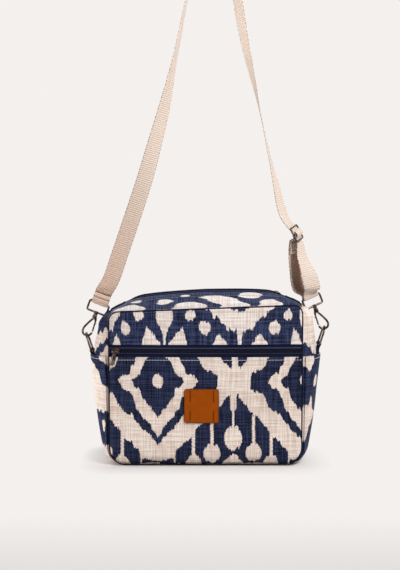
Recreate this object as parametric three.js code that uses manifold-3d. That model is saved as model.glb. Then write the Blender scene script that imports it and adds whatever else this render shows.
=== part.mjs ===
// A soft shoulder bag of printed canvas: domed zipped top, zipped front pocket, side slip pockets,
// and an adjustable webbing strap on two swivel snap hooks. Millimetres, +Z up, the front faces -Y.
// The pieces are laid out with the floor at z = 0, and the whole is then shifted so that the origin
// is the point where the strap hangs.

import * as THREE from 'three';
import { mergeVertices } from 'three/addons/utils/BufferGeometryUtils.js';
import loadManifold from 'manifold-3d';

const wasm = await loadManifold();
wasm.setup();

// Driving dimensions

const CLOTH = 1.8;
const GAP = 0.3;
const DEPTH = 86;
const PANEL = { halfWidth: 140, bottom: 2, top: 229, bottomRadius: 24, topRadius: 14, crown: 5 };
const SHOULDER_SLOPE = { perMillimetre: 0.037, from: 165, full: 229 };
const POCKET = { hem: 158.5, zipTop: 176.5 };
const ZIP = { tapeReach: 3.5, tapeThickness: 0.8, coilWidth: 6, coilHeight: 2, slot: 12, tapeWidth: 26 };
const LINING = { behind: 4.2, thickness: 1, inset: 6, widthShare: 0.965, aboveZip: 6 };
const LABEL = { x: -5.9, z: 88.3, size: 50, thickness: 1.8 };
const WEBBING = { width: 25, thickness: 1.6 };
const WIRE = 3;
const RING = { halfWidth: 14.7, height: 15, corner: 2 };
const D_RING = { halfWidth: 12.5, height: 26.5, foot: 2, standOff: 3.9 };
const SLIDE = { halfWidth: 14.4, barPitch: 10.5, wire: 2.6 };
const HANG = { arcRadius: 13, x: 12.3, centreZ: 793, from: 166, to: 12 };

// How far the sides, base and top stand out from the panels' outline at the middle of the depth.
// "at" is the distance along half the outline, from the middle of the base to the middle of the top.
const FLARE = [
  { at: 0, out: 2 },
  { at: 112, out: 2 },
  { at: 120, out: 2 },
  { at: 136, out: 6 },
  { at: 160, out: 11 },
  { at: 198, out: 17 },
  { at: 238, out: 21 },
  { at: 284, out: 22.5 },
  { at: 312, out: 22.7 },
  { at: 330, out: 23.3 },
  { at: 339, out: 23 },
  { at: 345.5, out: 15.5 },
  { at: 351, out: 7.5 },
  { at: 358, out: 3.5 },
  { at: 366, out: 6 },
  { at: 374, out: 10 },
  { at: 382, out: 13.2 },
  { at: 399, out: 15.6 },
  { at: 419, out: 17.5 },
  { at: 447, out: 19 },
  { at: 490, out: 20.2 },
];
const FLAT_BASE_SHARE = 0.7;
const FLARE_POWER = 2.2;
const CORNER_DENT = { at: 347, along: 24, across: 17 };

// Where the strips of the side band meet, along half the outline
const BASE_END = 118;
const TOP_START = 352;
const TAB_THICKNESS = 1.5;
const STRIP_MIDDLES = [22, 31.5];

// How far the side pockets' hems stand off at the middle, how far down that fades, and where they begin
const HEM_GAPE = { deep: 7.2, fadesOver: 55, seamInset: 2.2 };
const SIDE_POCKET_START = 131;

// Zip sliders: the main one closed at the right end with its pull over the back, the pocket's at the left
const MAIN_SLIDER = {
  fromSeam: 41, length: 12, width: 9, height: 3.2,
  pull: 24, pullWidth: 6, pullThick: 1.4, pullLift: 0.6, overlap: 2,
};
const PULL = {
  x: -129, body: 11, width: 9, height: 3.2, bail: 1.6, bailRise: 3.4, tab: 18, tabWidth: 7, thick: 1.4,
  eyeRadius: 1.75, eyeWire: 1.3,
};
const BAIL = [
  { x: -4.2, rise: -5 },
  { x: -4, rise: -1.4 },
  { x: -2.6, rise: 0 },
  { x: 2.6, rise: 0 },
  { x: 4, rise: -1.4 },
  { x: 4.2, rise: -5 },
];

// Snap hooks, in their own plane: "out" away from the bag, "down" along the pull from the ring's lower bar
const HOOK_SPINE = [
  { out: -0.5, down: 8 },
  { out: 2.6, down: 13 },
  { out: 6.2, down: 20 },
  { out: 9, down: 27 },
  { out: 9.4, down: 31.5 },
  { out: 7.2, down: 35.6 },
  { out: 3, down: 37 },
  { out: -1.4, down: 35.8 },
  { out: -3.9, down: 32.4 },
  { out: -4.4, down: 30.2 },
];
const COLLAR = { top: 1, height: 3, diameter: 6, barrel: 6 };
const GATE = { hinge: { out: -3.4, down: 11 }, tip: { out: -4.6, down: 28.4 }, diameter: 2.4 };
const D_BEND = { out: 3, down: 37 - WIRE - GAP };

// The cloth loop that holds a D-ring: its legs hang behind the side pocket's hem
const TAB_LOOP = { width: 18, drop: 15, legApart: 1.9, legRise: 8, legLean: 0.4 };

// The hardware on each side. "tilt" leans the strap's pull away from upright, "yaw" turns the ring.
const SIDES = [
  { side: 'left', sign: -1, swivel: [-160, 218], tilt: 21, yaw: 0 },
  { side: 'right', sign: 1, swivel: [159.3, 227.6], tilt: 22, yaw: 20 },
];

// Webbing route: the middle of the ribbon, and the turn of its width from the X axis, in degrees
const LEFT_RUN = [
  { x: -138.3, y: 0, z: 265.4, turn: 0 },
  { x: -125.4, y: 0, z: 302, turn: 2 },
  { x: -106.5, y: 0, z: 357, turn: 8 },
  { x: -88.3, y: 0, z: 411.8, turn: 19 },
  { x: -74, y: 0, z: 462, turn: 34 },
  { x: -60.3, y: 0, z: 513, turn: 50 },
  { x: -44.2, y: 0, z: 584.6, turn: 76 },
  { x: -26.7, y: 0, z: 669.9, turn: 84 },
  { x: -12, y: 0, z: 738, turn: 88 },
];
const RIGHT_RUN = [
  { x: 34.5, y: 0, z: 735, turn: 108 },
  { x: 46, y: 0, z: 669.9, turn: 118 },
  { x: 57, y: 0, z: 606, turn: 107 },
  { x: 72.3, y: 0, z: 541.7, turn: 95 },
  { x: 78.4, y: 0, z: 513, turn: 90 },
  { x: 97, y: 0, z: 426.3, turn: 74 },
  { x: 104.2, y: 0, z: 397.3, turn: 68 },
];
const LOOP_FRONT = [
  { x: 140.5, y: -5, z: 300, turn: 56 },
  { x: 146, y: -10, z: 284, turn: 42 },
  { x: 151.5, y: -13, z: 269, turn: 31 },
  { x: 155, y: -12, z: 254, turn: 30 },
];
const LOOP_BACK = [
  { x: 139, y: 9, z: 251, turn: 36 },
  { x: 133, y: 11, z: 264, turn: 44 },
  { x: 130.5, y: 10, z: 282, turn: 52 },
  { x: 129.2, y: 7, z: 303, turn: 60 },
];

// Beside a ring's upper bar, where the webbing turns round it: "above" the bar and "out" from its middle
const LEFT_FOLD = [
  { above: 17, out: 1 },
  { above: 8, out: 1.7 },
];
const RIGHT_FOLD = [
  { above: 5, out: 4.4 },
];
const SLIDE_PLACE = { x: 132.9, z: 333.8, tilt: 27.5, turn: 65 };

// The ribbon's way through the slide: "down" along the strap and "out" from the slide's plane
const SLIDE_RUN = [
  { down: -24, out: -1 },
  { down: -15, out: -2 },
  { down: -10.5, out: -2.6 },
  { down: -6, out: -0.2 },
  { down: -3, out: 3.6 },
  { down: 0, out: 4.9 },
  { down: 3, out: 3.8 },
  { down: 6.5, out: 0 },
  { down: 10.5, out: -2.6 },
  { down: 15.5, out: -2.4 },
];
const SLIDE_SEWN_END = [
  { down: 17, out: -6.8 },
  { down: 10.5, out: -6.8 },
  { down: 4, out: -4.2 },
  { down: 0, out: -2.5 },
  { down: -2, out: -1.6 },
  { down: -2.5, out: 0 },
  { down: -1.8, out: 1.8 },
  { down: 0, out: 2.5 },
  { down: 2.4, out: 1.2 },
  { down: 5, out: -2 },
  { down: 10.5, out: -4.7 },
  { down: 20, out: -4.6 },
];

// Small tools

const radians = THREE.MathUtils.degToRad;
const vector = (x, y, z) => new THREE.Vector3(x, y, z);
const range = (count) => Array.from({ length: count + 1 }, (_, i) => i / count);
const between = (low, high, share) => low + (high - low) * share;
const spread = (low, high, count) => range(count).map((share) => between(low, high, share));

function interpolate(rows, at, column) {
  const last = rows.length - 1;
  if (at <= rows[0].at) return rows[0][column];
  if (at >= rows[last].at) return rows[last][column];
  const next = rows.findIndex((row) => row.at > at);
  const share = (at - rows[next - 1].at) / (rows[next].at - rows[next - 1].at);
  const slope = (i) => {
    const low = Math.max(i - 1, 0);
    const high = Math.min(i + 1, last);
    return (rows[high][column] - rows[low][column]) / (rows[high].at - rows[low].at);
  };
  const span = rows[next].at - rows[next - 1].at;
  const [s2, s3] = [share * share, share * share * share];
  return (2 * s3 - 3 * s2 + 1) * rows[next - 1][column] + (s3 - 2 * s2 + share) * span * slope(next - 1)
    + (3 * s2 - 2 * s3) * rows[next][column] + (s3 - s2) * span * slope(next);
}

// Surfaces of the body

const SIDE_LENGTH = PANEL.top - PANEL.bottom - PANEL.bottomRadius - PANEL.topRadius;
const OUTLINE_ENDS = (() => {
  const bottom = PANEL.halfWidth - PANEL.bottomRadius;
  const lowCorner = bottom + (PANEL.bottomRadius * Math.PI) / 2;
  const side = lowCorner + SIDE_LENGTH;
  const highCorner = side + (PANEL.topRadius * Math.PI) / 2;
  return { bottom, lowCorner, side, highCorner, top: highCorner + PANEL.halfWidth - PANEL.topRadius };
})();

const sag = (x, z) => {
  const weight = THREE.MathUtils.smoothstep(z, SHOULDER_SLOPE.from, SHOULDER_SLOPE.full);
  return SHOULDER_SLOPE.perMillimetre * x * weight;
};

// The panels' outline at a signed distance from the middle of the base, with its outward direction
function outline(station) {
  const sign = station < 0 ? -1 : 1;
  const along = Math.abs(station);
  const { bottom, lowCorner, side, highCorner } = OUTLINE_ENDS;
  const corner = (radius, x, z, angle) => ({
    x: x + radius * Math.sin(angle),
    z: z - radius * Math.cos(angle),
    nx: Math.sin(angle),
    nz: -Math.cos(angle),
  });
  let point;
  if (along <= bottom) point = { x: along, z: PANEL.bottom, nx: 0, nz: -1 };
  else if (along <= lowCorner) {
    const angle = (along - bottom) / PANEL.bottomRadius;
    point = corner(PANEL.bottomRadius, bottom, PANEL.bottom + PANEL.bottomRadius, angle);
  } else if (along <= side) {
    point = { x: PANEL.halfWidth, z: PANEL.bottom + PANEL.bottomRadius + along - lowCorner, nx: 1, nz: 0 };
  } else if (along <= highCorner) {
    const angle = Math.PI / 2 + (along - side) / PANEL.topRadius;
    point = corner(PANEL.topRadius, PANEL.halfWidth - PANEL.topRadius, PANEL.top - PANEL.topRadius, angle);
  } else {
    const x = PANEL.halfWidth - PANEL.topRadius - (along - highCorner);
    point = { x, z: PANEL.top, nx: 0, nz: 1 };
  }
  return { x: sign * point.x, z: point.z, nx: sign * point.nx, nz: point.nz };
}

const BAND_HALF_DEPTH = DEPTH / 2 - CLOTH - GAP;

// A point of the band that joins the two panels, by its place along the outline and its depth
function band(station, y) {
  const edge = outline(station);
  const along = Math.abs(station);
  const across = Math.abs(y) / BAND_HALF_DEPTH;
  const flat = along < BASE_END ? FLAT_BASE_SHARE : 0;
  const round = 1 - Math.pow(Math.max(0, across - flat) / (1 - flat), FLARE_POWER);
  const nearCorner = Math.exp(-(((along - CORNER_DENT.at) / CORNER_DENT.along) ** 2));
  const dent = nearCorner * Math.exp(-((y / CORNER_DENT.across) ** 2));
  const out = interpolate(FLARE, along, 'out') * round * (1 - dent);
  const x = edge.x + edge.nx * out;
  const z = edge.z + edge.nz * out;
  return vector(x, y, z + sag(x, z));
}

const halfWidthAt = (z) => {
  const inset = (radius, rise) => {
    const short = radius - THREE.MathUtils.clamp(rise, 0, radius);
    return radius - Math.sqrt(radius ** 2 - short ** 2);
  };
  const low = inset(PANEL.bottomRadius, z - PANEL.bottom);
  const high = inset(PANEL.topRadius, PANEL.top - z);
  return PANEL.halfWidth - low - high;
};

// A point of the front panel, by its share of the width and its height; facing = -1 front, 1 back
function panelPoint(share, z, facing) {
  const x = share * halfWidthAt(z);
  const rise = (2 * (z - PANEL.bottom)) / (PANEL.top - PANEL.bottom) - 1;
  const crown = PANEL.crown * (1 - (x / PANEL.halfWidth) ** 2) * (1 - rise ** 2);
  return vector(x, facing * (DEPTH / 2 + crown), z + sag(x, z));
}

// Geometry builders

function geometryFrom(points, triangles) {
  const geometry = new THREE.BufferGeometry();
  const numbers = points.flatMap((p) => p.toArray());
  geometry.setAttribute('position', new THREE.Float32BufferAttribute(numbers, 3));
  geometry.setIndex(triangles.flat());
  return geometry;
}

const facingOut = (geometry) => {
  const position = geometry.getAttribute('position');
  const index = geometry.getIndex().array;
  const corner = (i) => vector().fromBufferAttribute(position, index[i]);
  let volume = 0;
  for (let i = 0; i < index.length; i += 3) volume += corner(i).dot(corner(i + 1).cross(corner(i + 2)));
  if (volume < 0) {
    for (let i = 0; i < index.length; i += 3) [index[i], index[i + 1]] = [index[i + 1], index[i]];
  }
  return geometry;
};

// A cloth wall over a grid of places, between two distances from a surface
function wall(columns, rows, surface, outer, inner) {
  const step = 0.01;
  const normalAt = (u, v) => {
    const du = surface(u + step, v).sub(surface(u - step, v));
    return du.cross(surface(u, v + step).sub(surface(u, v - step))).normalize();
  };
  const layer = (distance) => rows.flatMap((v) => columns.map((u) => {
    const off = typeof distance === 'function' ? distance(u, v) : distance;
    return surface(u, v).addScaledVector(normalAt(u, v), off);
  }));
  const points = [...layer(outer), ...layer(inner)];
  const [across, up] = [columns.length, rows.length];
  const inside = across * up;
  const triangles = [];
  const quad = (a, b, c, d) => triangles.push([a, b, c], [a, c, d]);
  for (let j = 0; j < up - 1; j += 1) {
    for (let i = 0; i < across - 1; i += 1) {
      const a = j * across + i;
      quad(a, a + 1, a + across + 1, a + across);
      quad(inside + a, inside + a + across, inside + a + across + 1, inside + a + 1);
    }
  }
  const rim = (a, b) => quad(a, inside + a, inside + b, b);
  for (let i = 0; i < across - 1; i += 1) {
    rim(i, i + 1);
    rim((up - 1) * across + i + 1, (up - 1) * across + i);
  }
  for (let j = 0; j < up - 1; j += 1) {
    rim((j + 1) * across, j * across);
    rim(j * across + across - 1, (j + 1) * across + across - 1);
  }
  return facingOut(geometryFrom(points, triangles));
}

// A solid through a row of sections with as many corners each, closed on itself or with flat ends
function loft(sections, closed = false) {
  const sides = sections[0].length;
  const triangles = [];
  const steps = closed ? sections.length : sections.length - 1;
  for (let k = 0; k < steps; k += 1) {
    const [near, far] = [k * sides, ((k + 1) % sections.length) * sides];
    for (let i = 0; i < sides; i += 1) {
      const j = (i + 1) % sides;
      triangles.push([near + i, near + j, far + j], [near + i, far + j, far + i]);
    }
  }
  if (!closed) {
    const end = (sections.length - 1) * sides;
    for (let i = 1; i < sides - 1; i += 1) triangles.push([0, i + 1, i], [end, end + i, end + i + 1]);
  }
  return facingOut(geometryFrom(sections.flat(), triangles));
}

// A round wire along points that lie in one plane
function wire(points, plane, diameter, closed = false, sides = 8) {
  const last = points.length - 1;
  const sections = points.map((p, i) => {
    const before = points[closed ? (i + last) % points.length : Math.max(i - 1, 0)];
    const after = points[closed ? (i + 1) % points.length : Math.min(i + 1, last)];
    const side = after.clone().sub(before).normalize().cross(plane);
    return range(sides).slice(0, sides).map((share) => {
      const angle = share * 2 * Math.PI;
      return p.clone().addScaledVector(side, (Math.cos(angle) * diameter) / 2)
        .addScaledVector(plane, (Math.sin(angle) * diameter) / 2);
    });
  });
  return loft(sections, closed);
}

// A flat ribbon through places that each give a point and the direction of the ribbon's width
function ribbon(places, width, thickness) {
  const last = places.length - 1;
  return loft(places.map(({ point, side }, i) => {
    const before = places[Math.max(i - 1, 0)].point;
    const along = places[Math.min(i + 1, last)].point.clone().sub(before).normalize();
    const across = side.clone().addScaledVector(along, -side.dot(along)).normalize();
    const face = along.clone().cross(across);
    return [[-1, -1], [1, -1], [1, 1], [-1, 1]].map(([w, t]) => point.clone()
      .addScaledVector(across, (w * width) / 2).addScaledVector(face, (t * thickness) / 2));
  }));
}

// The middle of a wire bent into a rectangle with round corners, between two heights below an origin
function roundedLoop({ origin, side, down }, halfWidth, low, high, corner) {
  const corners = [[-1, low + corner], [1, low + corner], [1, high - corner], [-1, high - corner]];
  return corners.flatMap(([sign, middle], k) => spread(k + 2, k + 3, 3).map((quarter) => {
    const angle = (quarter * Math.PI) / 2;
    return origin.clone().addScaledVector(side, sign * (halfWidth - corner) + corner * Math.cos(angle))
      .addScaledVector(down, middle + corner * Math.sin(angle));
  }));
}

// Joins closed geometries into one solid
function union(...geometries) {
  const solids = geometries.map((geometry) => {
    const plain = geometry.clone();
    plain.deleteAttribute('normal');
    plain.deleteAttribute('uv');
    const merged = mergeVertices(plain, 1e-4);
    return new wasm.Manifold(new wasm.Mesh({
      numProp: 3,
      vertProperties: Float32Array.from(merged.getAttribute('position').array),
      triVerts: Uint32Array.from(merged.getIndex().array),
    }));
  });
  const mesh = solids.reduce((sum, solid) => sum.add(solid)).getMesh();
  const geometry = new THREE.BufferGeometry();
  geometry.setAttribute('position', new THREE.Float32BufferAttribute(mesh.vertProperties, 3));
  geometry.setIndex(Array.from(mesh.triVerts));
  return geometry;
}

const finish = (color, roughness, metalness = 0) => {
  return new THREE.MeshStandardMaterial({ color, roughness, metalness });
};
const MATERIALS = {
  canvas: finish(0x8b8894, 0.9),
  lining: finish(0x30364f, 0.8),
  navyTape: finish(0x1b2140, 0.8),
  leather: finish(0xb2600e, 0.6),
  nickel: finish(0x55524d, 0.3, 1),
  webbing: finish(0xd8c4b0, 0.9),
};

const bag = new THREE.Group();
const add = (name, geometry, material) => {
  const mesh = new THREE.Mesh(geometry, material);
  mesh.name = name;
  bag.add(mesh);
};

// Body cloth

const cornerRows = (edge, radius, direction) => spread(0, Math.PI / 2, 5)
  .map((angle) => edge + direction * radius * (1 - Math.cos(angle)));
const lowRows = cornerRows(PANEL.bottom, PANEL.bottomRadius, 1);
const highRows = cornerRows(PANEL.top, PANEL.topRadius, -1).reverse();
const WIDTH_SHARES = spread(-1, 1, 14);

const front = (share, z) => panelPoint(share, z, -1);
const back = (share, z) => panelPoint(-share, z, 1);
const pocketRows = [...lowRows, ...spread(lowRows.at(-1), POCKET.hem, 6).slice(1)];
const upperRows = [...spread(POCKET.zipTop, highRows[0], 4).slice(0, -1), ...highRows];
const backRows = [...lowRows, ...spread(lowRows.at(-1), highRows[0], 7).slice(1, -1), ...highRows];
add('front_pocket', wall(WIDTH_SHARES, pocketRows, front, 0, -CLOTH), MATERIALS.canvas);
add('front_upper', wall(WIDTH_SHARES, upperRows, front, 0, -CLOTH), MATERIALS.canvas);
add('back_panel', wall(WIDTH_SHARES, backRows, back, 0, -CLOTH), MATERIALS.canvas);

// The wall behind the front pocket, a little inside the panels' outline
const liningShares = spread(-LINING.widthShare, LINING.widthShare, 7);
const liningRows = [
  ...cornerRows(PANEL.bottom + LINING.inset, PANEL.bottomRadius, 1),
  ...spread(PANEL.bottom + LINING.inset + PANEL.bottomRadius, POCKET.zipTop + LINING.aboveZip, 3).slice(1),
];
const lining = wall(liningShares, liningRows, front, -LINING.behind, -LINING.behind - LINING.thickness);
add('pocket_lining', lining, MATERIALS.lining);

const DEPTH_ROWS = spread(-BAND_HALF_DEPTH, BAND_HALF_DEPTH, 8);
const hemStation = OUTLINE_ENDS.lowCorner + POCKET.hem - PANEL.bottom - PANEL.bottomRadius;
const baseStations = spread(-BASE_END + GAP / 2, BASE_END - GAP / 2, 8);
const flatBase = (station, y) => band(-station, y);
const BASE_ROWS = [-1, -0.85, -FLAT_BASE_SHARE, 0, FLAT_BASE_SHARE, 0.85, 1]
  .map((share) => share * BAND_HALF_DEPTH);
add('base', wall(baseStations, BASE_ROWS, flatBase, 0, -CLOTH), MATERIALS.canvas);

for (const { side, sign } of SIDES) {
  const strip = (along, y) => band(sign * along, sign * -y);
  const pocket = spread(SIDE_POCKET_START, hemStation, 8);
  const whole = [BASE_END + GAP / 2, ...pocket, ...spread(hemStation, TOP_START - GAP / 2, 7).slice(1)];
  add(`side_${side}`, wall(whole, DEPTH_ROWS, strip, 0, -CLOTH), MATERIALS.canvas);
  const gape = (along, y) => {
    const near = THREE.MathUtils.smoothstep(along, hemStation - HEM_GAPE.fadesOver, hemStation);
    return HEM_GAPE.deep * near * (1 - (y / BAND_HALF_DEPTH) ** 2);
  };
  const seam = BAND_HALF_DEPTH - HEM_GAPE.seamInset;
  const pocketDepths = DEPTH_ROWS.map((y) => THREE.MathUtils.clamp(y, -seam, seam));
  const outer = (along, y) => GAP + CLOTH + gape(along, y);
  const inner = (along, y) => GAP + gape(along, y);
  add(`side_pocket_${side}`, wall(pocket, pocketDepths, strip, outer, inner), MATERIALS.canvas);
}

// Domed top and its zip: the distance round from the left corner over the top to the right corner
const overTop = (round, y) => band(round <= OUTLINE_ENDS.top ? -round : 2 * OUTLINE_ENDS.top - round, y);
const TOP_END = 2 * OUTLINE_ENDS.top - TOP_START;
const topStations = spread(TOP_START + GAP / 2, TOP_END - GAP / 2, 26);
const stripDepths = [ZIP.slot / 2, ZIP.tapeWidth / 2, ...STRIP_MIDDLES, BAND_HALF_DEPTH];
const mirrored = (depths) => depths.map((y) => -y).reverse();
add('top_front', wall(topStations, mirrored(stripDepths), overTop, 0, -CLOTH), MATERIALS.canvas);
add('top_back', wall(topStations, stripDepths, overTop, 0, -CLOTH), MATERIALS.canvas);

const tapeTop = -CLOTH - GAP;
const coilTop = tapeTop + GAP + ZIP.coilHeight;
const coilRows = [-ZIP.coilWidth / 2, ZIP.coilWidth / 2];
const tapeEdges = stripDepths.slice(0, 2);
const tapeRows = [...mirrored(tapeEdges), ...coilRows, ...tapeEdges];
const tapeUnder = tapeTop - ZIP.tapeThickness;
add('main_zip_tape', wall(topStations, tapeRows, overTop, tapeTop, tapeUnder), MATERIALS.navyTape);
add('main_zip_coil', wall(topStations, coilRows, overTop, coilTop, tapeTop + GAP), MATERIALS.navyTape);

const tabUnder = coilTop + GAP;
const tabStations = { left: topStations.slice(0, 3), right: topStations.slice(-3) };
for (const { side } of SIDES) {
  const over = wall(tabStations[side], tapeRows, overTop, tabUnder + TAB_THICKNESS, tabUnder);
  add(`zip_end_tab_${side}`, over, MATERIALS.canvas);
}

const sliderFrom = TOP_END - MAIN_SLIDER.fromSeam;
const sliderUnder = coilTop + GAP;
const sliderBody = wall(
  spread(sliderFrom, sliderFrom + MAIN_SLIDER.length, 2),
  spread(-MAIN_SLIDER.width / 2, MAIN_SLIDER.width / 2, 2),
  overTop, sliderUnder + MAIN_SLIDER.height, sliderUnder,
);
const pullMiddle = sliderFrom + MAIN_SLIDER.length / 2;
const pullUnder = sliderUnder + MAIN_SLIDER.pullLift;
const sliderPull = wall(
  spread(pullMiddle - MAIN_SLIDER.pullWidth / 2, pullMiddle + MAIN_SLIDER.pullWidth / 2, 2),
  spread(MAIN_SLIDER.width / 2 - MAIN_SLIDER.overlap, MAIN_SLIDER.width / 2 + MAIN_SLIDER.pull, 4),
  overTop, pullUnder + MAIN_SLIDER.pullThick, pullUnder,
);
add('main_zip_slider', union(sliderBody, sliderPull), MATERIALS.nickel);

// Pocket zip

const zipMiddle = (POCKET.hem + POCKET.zipTop) / 2;
const zipShares = spread(-0.99, 0.99, 12);
const tape = (low, high) => wall(zipShares, [low, high], front, tapeTop, tapeUnder);
add('pocket_zip_tape_lower', tape(POCKET.hem - ZIP.tapeReach, zipMiddle - GAP / 2), MATERIALS.navyTape);
add('pocket_zip_tape_upper', tape(zipMiddle + GAP / 2, POCKET.zipTop + ZIP.tapeReach), MATERIALS.navyTape);
const pocketCoilRows = [zipMiddle - ZIP.coilWidth / 2, zipMiddle + ZIP.coilWidth / 2];
add('pocket_zip_coil', wall(zipShares, pocketCoilRows, front, coilTop, tapeTop + GAP), MATERIALS.navyTape);

const coilFace = panelPoint(PULL.x / PANEL.halfWidth, zipMiddle, -1).y - coilTop;
const sliderShape = new THREE.Shape([
  new THREE.Vector2(-PULL.body / 2, -PULL.width / 4),
  new THREE.Vector2(-PULL.body / 6, -PULL.width / 2),
  new THREE.Vector2(PULL.body / 2, -PULL.width / 2.6),
  new THREE.Vector2(PULL.body / 2, PULL.width / 2.6),
  new THREE.Vector2(-PULL.body / 6, PULL.width / 2),
  new THREE.Vector2(-PULL.body / 2, PULL.width / 4),
]);
const flatOnFront = (shape, depth) => new THREE.ExtrudeGeometry(shape, { depth, bevelEnabled: false })
  .rotateX(Math.PI / 2);
const bailY = coilFace - GAP - PULL.height - PULL.bailRise;
const bailPoints = BAIL.map(({ x, rise }) => vector(PULL.x + x, bailY - rise, zipMiddle));
const pocketSliderBody = flatOnFront(sliderShape, PULL.height).translate(PULL.x, coilFace - GAP, zipMiddle);
const bailWire = wire(bailPoints, vector(0, 0, 1), PULL.bail);
add('pocket_zip_slider', union(pocketSliderBody, bailWire), MATERIALS.nickel);

const eyePoints = range(12).slice(0, 12).map((share) => {
  const angle = share * 2 * Math.PI;
  const [y, z] = [PULL.eyeRadius * Math.cos(angle), PULL.eyeRadius * Math.sin(angle)];
  return vector(PULL.x, bailY + y, zipMiddle + z);
});
const tabShape = new THREE.Shape();
tabShape.moveTo(-PULL.tabWidth / 4, 0);
tabShape.lineTo(PULL.tabWidth / 4, 0);
tabShape.lineTo(PULL.tabWidth / 2, -PULL.tab / 3);
tabShape.lineTo(PULL.tabWidth / 2, -PULL.tab + PULL.tabWidth / 2);
tabShape.absarc(0, -PULL.tab + PULL.tabWidth / 2, PULL.tabWidth / 2, 0, -Math.PI, true);
tabShape.lineTo(-PULL.tabWidth / 2, -PULL.tab / 3);
const pullTab = flatOnFront(tabShape, PULL.thick)
  .translate(PULL.x, bailY + PULL.thick / 2, zipMiddle - PULL.eyeRadius);
const pullEye = wire(eyePoints, vector(1, 0, 0), PULL.eyeWire, true);
add('pocket_zip_pull', union(pullEye, pullTab), MATERIALS.nickel);

// Leather label on the pocket

const labelShare = (x) => x / PANEL.halfWidth;
const labelColumns = spread(labelShare(LABEL.x - LABEL.size / 2), labelShare(LABEL.x + LABEL.size / 2), 4);
const labelRows = spread(LABEL.z - LABEL.size / 2, LABEL.z + LABEL.size / 2, 4);
add('label', wall(labelColumns, labelRows, front, GAP + LABEL.thickness, GAP), MATERIALS.leather);

// Strap fittings

// Axes of a snap hook: "down" along its pull, "out" away from the bag, both in the hook's own plane
const hookAxes = ({ sign, swivel, tilt, yaw }) => {
  const lean = radians(tilt);
  const down = vector(sign * Math.sin(lean), 0, -Math.cos(lean));
  const out = vector(sign * Math.cos(lean), 0, Math.sin(lean));
  const side = out.clone().multiplyScalar(sign * Math.cos(radians(yaw)));
  side.y = Math.sin(radians(yaw));
  return { origin: vector(swivel[0], 0, swivel[1]), down, out, side };
};
const inPlane = ({ origin, out, down }, u, v) => {
  return origin.clone().addScaledVector(out, u).addScaledVector(down, v);
};

const cylinder = (axes, from, to, diameter) => {
  const geometry = new THREE.CylinderGeometry(diameter / 2, diameter / 2, to - from, 12);
  geometry.applyQuaternion(new THREE.Quaternion().setFromUnitVectors(vector(0, 1, 0), axes.down));
  const middle = inPlane(axes, 0, (from + to) / 2);
  return geometry.translate(middle.x, middle.y, middle.z);
};

const D_CURVE = (() => {
  const { halfWidth, height, foot } = D_RING;
  const arch = spread(0, Math.PI, 10)
    .map((angle) => [halfWidth * Math.cos(angle), height - halfWidth * (1 - Math.sin(angle))]);
  return [[foot - halfWidth, 0], [halfWidth - foot, 0], [halfWidth, foot], ...arch, [-halfWidth, foot]];
})();

for (const place of SIDES) {
  const { side, sign } = place;
  const axes = hookAxes(place);
  const across = vector(0, 1, 0);
  const ringPlane = axes.side.clone().cross(axes.down).normalize();
  const loop = wire(roundedLoop(axes, RING.halfWidth, -RING.height, 0, RING.corner), ringPlane, WIRE, true);
  const collar = cylinder(axes, COLLAR.top, COLLAR.top + COLLAR.height, COLLAR.diameter);
  add(`hook_ring_${side}`, union(loop, collar), MATERIALS.nickel);

  const spine = new THREE.CatmullRomCurve3(HOOK_SPINE.map(({ out, down }) => inPlane(axes, out, down)));
  const barrelTop = COLLAR.top + COLLAR.height + GAP;
  const barrel = cylinder(axes, barrelTop, barrelTop + COLLAR.barrel, COLLAR.diameter);
  add(`hook_body_${side}`, union(barrel, wire(spine.getPoints(26), across, WIRE)), MATERIALS.nickel);

  const { hinge, tip, diameter } = GATE;
  const gatePoints = range(3).map((share) => inPlane(
    axes, between(hinge.out, tip.out, share), between(hinge.down, tip.down, share)));
  add(`hook_gate_${side}`, wire(gatePoints, across, diameter), MATERIALS.nickel);

  const bend = inPlane(axes, D_BEND.out, D_BEND.down);
  const sideFace = PANEL.halfWidth + interpolate(FLARE, hemStation, 'out');
  const bar = vector(sign * (sideFace + D_RING.standOff), 0, bend.z);
  bar.z -= Math.sqrt(D_RING.height ** 2 - (bend.x - bar.x) ** 2);
  const rise = bend.clone().sub(bar).normalize();
  const dPoints = D_CURVE
    .map(([y, up]) => bar.clone().addScaledVector(across, y).addScaledVector(rise, up));
  add(`d_ring_${side}`, wire(dPoints, rise.clone().cross(across), WIRE, true), MATERIALS.nickel);

  const around = WIRE / 2 + GAP + TAB_THICKNESS / 2;
  const foot = bar.z - TAB_LOOP.drop;
  const knee = foot + TAB_LOOP.legRise;
  const inLeg = sign * (sideFace + GAP + TAB_THICKNESS / 2);
  const outLeg = inLeg + sign * TAB_LOOP.legApart;
  const overBar = spread(-0.25 * Math.PI, 1.25 * Math.PI, 7)
    .map((angle) => vector(bar.x + sign * Math.cos(angle) * around, 0, bar.z + Math.sin(angle) * around));
  const tabPath = [
    vector(outLeg, 0, foot), vector(outLeg + sign * TAB_LOOP.legLean, 0, knee),
    ...overBar, vector(inLeg, 0, knee), vector(inLeg, 0, foot),
  ];
  add(`d_ring_tab_${side}`, ribbon(tabPath.map((point) => ({ point, side: across })), TAB_LOOP.width,
    TAB_THICKNESS), MATERIALS.canvas);
}

// Strap

const turned = ({ x, y, z, turn }) => ({
  point: vector(x, y, z), side: vector(Math.cos(radians(turn)), Math.sin(radians(turn)), 0),
});

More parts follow.
